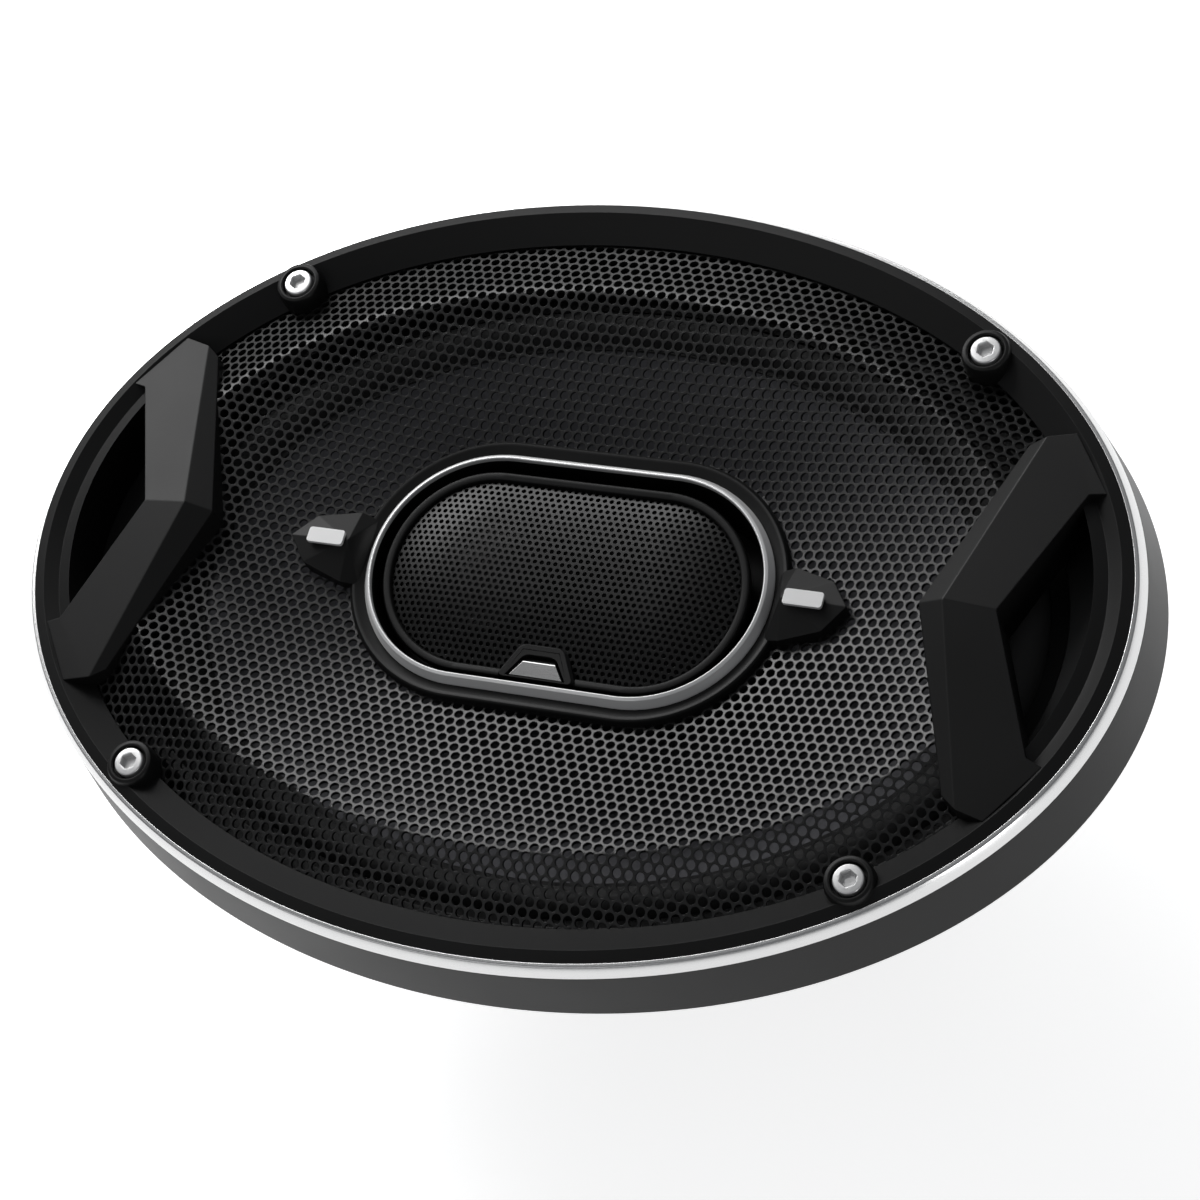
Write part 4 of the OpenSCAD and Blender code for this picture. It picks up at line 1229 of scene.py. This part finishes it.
@dataclass
class Pod:
    """The swivelling pod: rim, pierced dome and button bay."""

    radius: float = 22.9
    rim: float = 14.0
    crown: float = 3.0
    pitch: float = 1.57
    hole: float = 0.5

    def dome_height(self, reach: float) -> float:
        """Height of the dome at a distance from the pod's centre line."""
        return self.rim - 1 + self.crown * (1 - (reach / 20.7) ** 2.6)

    def build(self) -> None:
        """Models the pod's visible pieces and puts them in place."""
        self.build_rim()
        self.build_dome()
        self.build_bay()

    def build_rim(self) -> None:
        """Models the rounded rim, open where the bay stands."""
        r, z = self.radius, self.rim
        rows = [(r, z - 1.8), (r, z - 0.75), (r - 0.18, z - 0.3), (r - 0.55, z - 0.05),
                (r - 1.05, z), (r - 1.55, z - 0.08), (r - 1.9, z - 0.35), (r - 2.08, z - 0.8),
                (r - 2.1, z - 1.8)]
        work = Work.stadium("pod_rim_bead", rows, 160)
        with work.editing("FACE"):
            for side in (-1, 1):
                bpy.ops.mesh.select_all(action="SELECT")
                bpy.ops.mesh.bisect(plane_co=(side * 8.6, 0, 0), plane_no=(1, 0, 0))
            work.pick_faces(lambda f: f.calc_center_median().y < 0
                            and abs(f.calc_center_median().x) < 8.6)
            bpy.ops.mesh.delete(type="FACE")
            bpy.ops.mesh.select_mode(type="EDGE")
            for side in (-1, 1):
                work.pick_edges(lambda e: e.is_boundary and e.verts[0].co.x * side > 0)
                bpy.ops.mesh.edge_face_add()
        work.tidy_normals().smooth(40)
        stand_for(work.finish(SATIN_BLACK, Place.POD), Body.POD, "satin_black", "pod_rim")

    def build_dome(self) -> None:
        """Models the pierced dome."""
        reaches = [22.8, 21.6, 21.0, 20.7, 20.3, 19.8, 19.0, 18.0, 16.5, 14.5, 12.0, 9.0, 6.0, 3.0, 1.0]
        shape = Work.stadium("dome_shape", [(r, self.dome_height(r)) for r in reaches], 96,
                             End.FILLED)
        sheet = PiercedSheet("pod_dome_grille", self.pitch, self.hole, 41, 23, 0.6)

        def keep(x: np.ndarray, y: np.ndarray) -> np.ndarray:
            bay = (y < -15.6) & (np.abs(x) < 5.0 + 0.49 * np.maximum(-14.8 - y, 0))
            return inside_stadium(x, y, 21.2) & ~bay

        work = sheet.drape(sheet.flat(keep), shape)
        bpy.data.objects.remove(shape.obj)
        stand_for(work.finish(DOME_PAINT, Place.POD), Body.POD, "mesh_steel", "pod_dome")

    def build_bay(self) -> None:
        """Models the raised bay round the level button."""
        def loop(grow: float, z: float) -> list[Point]:
            return [(-5.25 - grow, -14.8 + grow, z), (5.25 + grow, -14.8 + grow, z),
                    (9.2 + grow, -22.85 - grow * 0.1, z), (-9.2 - grow, -22.85 - grow * 0.1, z)]

        def opening(z: float) -> list[Point]:
            return [(-3.55, -17.45, z), (3.55, -17.45, z), (6.85, -22.5, z), (-6.85, -22.5, z)]

        work = Work.loops("button_bay_block", [
            loop(0, 10.1), loop(0, 14.2), loop(-0.55, 14.95), opening(14.95), opening(10.1)],
            joined=True)
        with work.editing("EDGE"):
            work.pick_edges(lambda e: abs(e.verts[0].co.z - e.verts[1].co.z) > 0.5
                            and e.verts[0].co.y > -18 and e.verts[1].co.y > -18
                            or (abs(e.verts[0].co.z - e.verts[1].co.z) > 0.5
                                and abs(e.verts[0].co.x) > 8 and abs(e.verts[1].co.x) > 8))
            bpy.ops.mesh.bevel(offset=1.3, segments=5)
        work.tidy_normals().soften(0.2, 35, 2).smooth(35)
        stand_for(work.finish(SATIN_BLACK, Place.POD), Body.POD, "satin_black", "button_bay")


@dataclass
class LevelButton:
    """The bright push button in the bay."""

    def build(self) -> None:
        """Models the button and puts it in its place."""
        def loop(grow: float, z: float, inner: float = -17.8) -> list[Point]:
            slope = (12.8 - 6.4) / 2 / 4.5
            top = 3.2 + (-17.8 - inner) * slope
            return [(-top - grow, inner, z), (top + grow, inner, z),
                    (6.4 + grow, -22.3, z), (-6.4 - grow, -22.3, z)]

        work = Work.loops("level_button_cap", [
            loop(0, 11.6), loop(0, 13.7), loop(-0.25, 14.65, -19.0)])
        work.soften(0.16, 20, 3).smooth(30)
        stand_for(work.finish(BUTTON_SILVER, Place.POD), Body.BUTTON, "bright_trim",
                  "level_button")


# ---------------------------------------------------------------------------------------------
# Cone and suspension
# ---------------------------------------------------------------------------------------------


def rear_row(inset: float, height: float) -> Row:
    """A row round the rear oval, inset from the lip edge."""
    reach = HALF_LENGTH - inset
    return (reach, reach * REAR_RATIO, height)


@dataclass
class Suspension:
    """The cone, its half-roll surround and its spider."""

    roll_middle: float = 26.0
    roll: float = 5.0
    sheet: float = 0.7
    land: float = -4.0
    cone_inset: float = 31.0
    cone_land: float = 2.2
    cone_sheet: float = 1.0
    cone_bow: float = 1.25
    neck: float = 13.4
    neck_height: float = -33.5

    def build(self) -> None:
        """Models the three pieces and puts them in place."""
        self.build_cone()
        self.build_surround()
        self.build_spider()

    def build_cone(self) -> None:
        """Models the cone, oval at its edge and round at its neck."""
        edge_x, top = HALF_LENGTH - self.cone_inset - self.cone_land, self.land - 0.02
        shares = [0, 0.04, 0.1, 0.2, 0.3, 0.4, 0.5, 0.6, 0.7, 0.8, 0.9, 1.0]

        def row(share: float, drop: float) -> Row:
            fall = (1 - (1 - share) ** self.cone_bow) * (top - self.neck_height)
            return (edge_x + (self.neck - edge_x) * share,
                    edge_x * REAR_RATIO + (self.neck - edge_x * REAR_RATIO) * share,
                    top - fall - drop)

        rows = [rear_row(self.cone_inset, top)]
        rows += [row(s, 0) for s in shares] + [row(s, self.cone_sheet) for s in reversed(shares)]
        rows += [rear_row(self.cone_inset, top - self.cone_sheet)]
        work = Work.swept("oval_cone", rows, 144).tidy_normals().smooth(40)
        stand_for(work.finish(CONE_PULP), Body.CONE, "cone_pulp", "cone")

    def build_surround(self) -> None:
        """Models the half roll, which bends between the basket and the cone."""
        half = self.sheet / 2
        middle = self.land + half
        arc = [math.radians(a) for a in range(0, 181, 12)]
        outside = [(-self.roll_middle + (self.roll + half) * math.cos(a),
                    middle + (self.roll + half) * math.sin(a)) for a in arc]
        inside = [(-self.roll_middle + (self.roll - half) * math.cos(a),
                   middle + (self.roll - half) * math.sin(a)) for a in reversed(arc)]
        clamped, glued = -16.2, -33.0
        top = self.land + self.sheet
        foot_out, foot_in = half - self.roll_middle + self.roll - self.sheet, -30.65
        points = [(clamped, top)] + outside + [(glued, top), (glued, self.land)]
        points += [(foot_in, self.land)] + inside + [(foot_out, self.land), (clamped, self.land)]
        work = Work.swept("half_roll_surround", [rear_row(-x, z) for x, z in points], 144)
        obj = work.tidy_normals().smooth(40).finish(SURROUND_RUBBER)
        self.bend(obj, "surround")

    def build_spider(self) -> None:
        """Models the corrugated spider, which bends between the basket and the former."""
        inner, start, end, level, sheet = 13.4, 16.85, 42.0, -41.98, 0.5
        wave = [(start + (end - start) * i / 60, level + 1.4 * math.sin(i / 60 * 5 * 2 * math.pi))
                for i in range(61)]
        points = [(inner, level)] + wave + [(47.8, level), (47.8, level + sheet)]
        points += [(x, z + sheet) for x, z in reversed(wave)] + [(inner, level + sheet)]
        work = Work.swept("corrugated_spider", [(x, x, z) for x, z in points], 96)
        obj = work.tidy_normals().smooth(50).finish(SPIDER_CLOTH)
        self.bend(obj, "spider")

    def bend(self, obj: bpy.types.Object,
             node: str) -> None:
        """Bakes a ring-shaped piece's place into its mesh and hides the node it stands for.

        Args:
            obj: The finished piece.
            node: The node it stands for.
        """
        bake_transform(obj)
        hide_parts(node)
        log.info("%s: %d faces, bends with the cone", obj.name, len(obj.data.polygons))


@dataclass
class ConeLeads:
    """The two flexible leads from the terminals to the cone."""

    radius: float = 0.8

    def build(self) -> None:
        """Models the leads as tubes along smooth curves."""
        works = []
        for side in (-1, 1):
            stops = [(side * 8.0, -69.95, -24.0), (side * 8.3, -66.0, -28.3),
                     (side * 8.5, -61.9, -31.0), (side * 9.0, -53.85, -34.0),
                     (side * 9.5, -46.8, -33.0), (side * 9.8, -41.0, -30.4),
                     (side * 10.0, -36.4, -27.3)]
            curve = bpy.data.curves.new("lead", "CURVE")
            curve.dimensions = "3D"
            curve.bevel_depth = self.radius
            curve.bevel_resolution = 3
            curve.resolution_u = 8
            curve.use_fill_caps = True
            spline = curve.splines.new("BEZIER")
            spline.bezier_points.add(len(stops) - 1)
            for point, stop in zip(spline.bezier_points, stops):
                point.co = stop
                point.handle_left_type = point.handle_right_type = "AUTO"
            obj = bpy.data.objects.new("lead", curve)
            bpy.context.scene.collection.objects.link(obj)
            select_only(obj)
            bpy.ops.object.convert(target="MESH")
            works.append(Work(f"lead_{side}", bpy.context.active_object))
        work = works[0].join(works[1])
        work.obj.name = "tinsel_leads"
        obj = work.tidy_normals().smooth(60).finish(LEAD_COPPER)
        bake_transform(obj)
        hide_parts("cone_leads")
        log.info("%s: %d faces, bends with the cone", obj.name, len(obj.data.polygons))


# ---------------------------------------------------------------------------------------------
# Parts behind the panel
# ---------------------------------------------------------------------------------------------


@dataclass
class RearParts:
    """The basket, motor and terminals, with their edges rounded and their curves smoothed."""

    parts: tuple[tuple[str, Finish, str, Body, float], ...] = (
        ("basket_rim", BASKET_PAINT, "basket_steel", Body.SPEAKER, 0.3),
        ("basket_legs", BASKET_PAINT, "basket_steel", Body.SPEAKER, 0.4),
        ("basket_cup", BASKET_PAINT, "basket_steel", Body.SPEAKER, 0.3),
        ("top_plate", MOTOR_STEEL, "motor_steel", Body.SPEAKER, 0.5),
        ("yoke", MOTOR_STEEL, "motor_steel", Body.SPEAKER, 0.5),
        ("terminal_board", TERMINAL_BOARD, "board", Body.SPEAKER, 0.25),
        ("terminal_large", BRASS, "brass", Body.SPEAKER, 0.12),
        ("terminal_small", BRASS, "brass", Body.SPEAKER, 0.12),
        ("capacitor", CAPACITOR_FILM, "film", Body.SPEAKER, 0.8),
        ("lead_eyelets", SCREW_STEEL, "screw_steel", Body.CONE, 0.2),
        ("pod_housing", SATIN_BLACK, "satin_black", Body.POD, 0.2))
    boot: tuple[tuple[float, float], ...] = (
        (45.2, -61.6), (46.2, -61.5), (46.8, -61.8), (47.0, -62.5), (47.0, -65.0), (46.55, -65.4),
        (46.55, -66.4), (47.0, -66.8), (47.1, -78.0), (46.65, -78.4), (46.65, -79.4),
        (47.1, -79.8), (47.1, -82.6), (46.6, -83.6), (45.6, -84.0), (42.25, -84.0),
        (42.25, -78.2), (45.15, -78.2))

    def refine(self, node: str, width: float) -> Work:
        """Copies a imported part, merges its triangles and rounds its edges.

        Args:
            node: The part's node.
            width: Width of the rounding.

        Returns:
            The refined copy, in millimetres.
        """
        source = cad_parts[node]
        twin = source.copy()
        twin.data = source.data.copy()
        twin.parent = None
        for key in [k for k in twin.keys() if k.startswith("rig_")]:
            del twin[key]
        bpy.context.scene.collection.objects.link(twin)
        work = Work(f"{node}_finished", twin)
        twin.scale = (1 / MM,) * 3
        select_only(twin)
        bpy.ops.object.transform_apply(location=False, rotation=False, scale=True)
        with work.editing("VERT"):
            bpy.ops.mesh.select_all(action="SELECT")
            bpy.ops.mesh.remove_doubles(threshold=0.004)
            bpy.ops.mesh.dissolve_limited(angle_limit=math.radians(0.6))
        work.apply_modifier("BEVEL", width=width, segments=2, limit_method="ANGLE",
                            angle_limit=math.radians(38), use_clamp_overlap=True)
        return work.smooth(32)

    def build(self) -> None:
        """Refines each part, and models the boot with its grooves."""
        for node, finish, slot, body, width in self.parts:
            stand_for(self.refine(node, width).finish(finish), body, slot, node)
        boot = Work.swept("magnet_boot_sleeve", [(r, r, z) for r, z in self.boot], 128)
        boot.tidy_normals().smooth(50)
        stand_for(boot.finish(BOOT_RUBBER), Body.SPEAKER, "boot_rubber", "magnet_boot")


# ---------------------------------------------------------------------------------------------
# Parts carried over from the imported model
# ---------------------------------------------------------------------------------------------


@dataclass
class CarriedParts:
    """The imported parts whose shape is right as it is, each with its finish."""

    finishes: dict[str, Finish] = field(default_factory=lambda: {
        "panel_gasket": FOAM, "clamp_ring": SATIN_BLACK, "magnet": FERRITE, "post": SATIN_BLACK,
        "ball_stud": SCREW_STEEL, "former": FORMER_FILM, "winding": LEAD_COPPER,
        "swivel_liner": LINER, "driver_plate": SATIN_BLACK, "large_dome": DARK_DIAPHRAGM,
        "small_dome": BRIGHT_DIAPHRAGM, "driver_magnets": MOTOR_STEEL})

    def build(self) -> None:
        """Dresses each carried part, and any node that another piece stands for."""
        for name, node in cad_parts.items():
            finish = self.finishes.get(name, SATIN_BLACK)
            node.data.materials.clear()
            node.data.materials.append(finish.material())
            if name in self.finishes:
                log.info("%s keeps its shape, in %s", name, finish.name)


# ---------------------------------------------------------------------------------------------
# Studio
# ---------------------------------------------------------------------------------------------


@dataclass
class Studio:
    """The floor, the lights and the camera."""

    camera_place: Point = (0.261525, -0.256844, 0.592861)
    lens: float = 97.74
    right: Point = (0.92111688, 0.26753979, -0.28278287)
    up: Point = (-0.12350886, 0.88972999, 0.43946115)
    back: Point = (0.36917374, -0.3698689, 0.85258885)

    def build(self) -> None:
        """Sets the stage."""
        self.build_camera()
        self.build_floor()
        self.light("key_softbox", (-0.62, 0.82, 0.70), 1.0, 0.5, 11.0)
        self.light("side_softbox", (-0.95, 0.62, 0.85), 0.5, 0.35, 3.0)
        self.light("rim_softbox", (0.85, -0.62, 0.12), 0.32, 0.22, 1.2)
        self.light("front_softbox", (-0.45, -0.85, 0.75), 0.9, 0.5, 1.0)
        self.light("top_softbox", (-0.45, 0.45, 1.05), 0.3, 0.3, 0.8)
        world = bpy.data.worlds.new("soft_room")
        world.use_nodes = True
        ground = world.node_tree.nodes["Background"]
        ground.inputs["Color"].default_value = (0.95, 0.97, 1.0, 1)
        ground.inputs["Strength"].default_value = 0.22
        bpy.context.scene.world = world
        bpy.context.scene.view_settings.view_transform = "Standard"
        bpy.context.scene.view_settings.look = "None"

    def build_camera(self) -> None:
        """Puts the camera at its viewing angle."""
        data = bpy.data.cameras.new("view")
        data.lens = self.lens
        data.sensor_width = 36.0
        data.clip_start, data.clip_end = 0.01, 20.0
        camera = bpy.data.objects.new("view", data)
        bpy.context.scene.collection.objects.link(camera)
        turn = Matrix((self.right, self.up, self.back)).transposed().to_4x4()
        camera.matrix_world = Matrix.Translation(self.camera_place) @ turn
        bpy.context.scene.camera = camera

    def build_floor(self) -> None:
        """Lays a pale floor under the magnet."""
        clear_selection()
        bpy.ops.mesh.primitive_plane_add(size=12, location=(0, 0, FLOOR_HEIGHT * MM - 0.0002))
        floor = bpy.context.active_object
        floor.name = "floor"
        pale = Finish("pale_floor", (0.86, 0.86, 0.86, 1), wear_and_edge_highlight_colour=(0.9, 0.9, 0.9, 1),
                      roughness=(0.6, 0.7), grain=300, depth=0.00002, shade=0.02, wear_and_edge_highlight=0.0,
                      specular=0.2)
        material = pale.material()
        shader = next(n for n in material.node_tree.nodes if n.type == "BSDF_PRINCIPLED")
        shader.inputs["Emission Color"].default_value = (1, 1, 1, 1)
        shader.inputs["Emission Strength"].default_value = 0.72
        floor.data.materials.append(material)

    def light(self, name: str, place: Point, length: float, width: float, power: float) -> None:
        """Adds one softbox aimed at the speaker.

        Args:
            name: The light's name.
            place: Where it stands.
            length: Its length.
            width: Its width.
            power: Its power in watts.
        """
        data = bpy.data.lights.new(name, "AREA")
        data.shape = "RECTANGLE"
        data.size, data.size_y = length, width
        data.energy = power
        lamp = bpy.data.objects.new(name, data)
        lamp.location = place
        lamp.rotation_mode = "QUATERNION"
        lamp.rotation_quaternion = (-Vector(place)).to_track_quat("-Z", "Y")
        bpy.context.scene.collection.objects.link(lamp)


def main() -> None:
    """Builds the studio and the speaker, sub-assembly by sub-assembly."""
    logging.basicConfig(level=logging.INFO, format="%(message)s", stream=sys.stdout)
    assemblies = (Studio(), CarriedParts(), FrontFrame(), LipTrim(), Grille(), PodSurround(),
                  FixingScrews(), Pod(), LevelButton(), Suspension(), ConeLeads(), RearParts())
    for assembly in assemblies:
        log.info("building %s", type(assembly).__name__)
        assembly.build()


if __name__ == "__main__":
    main()
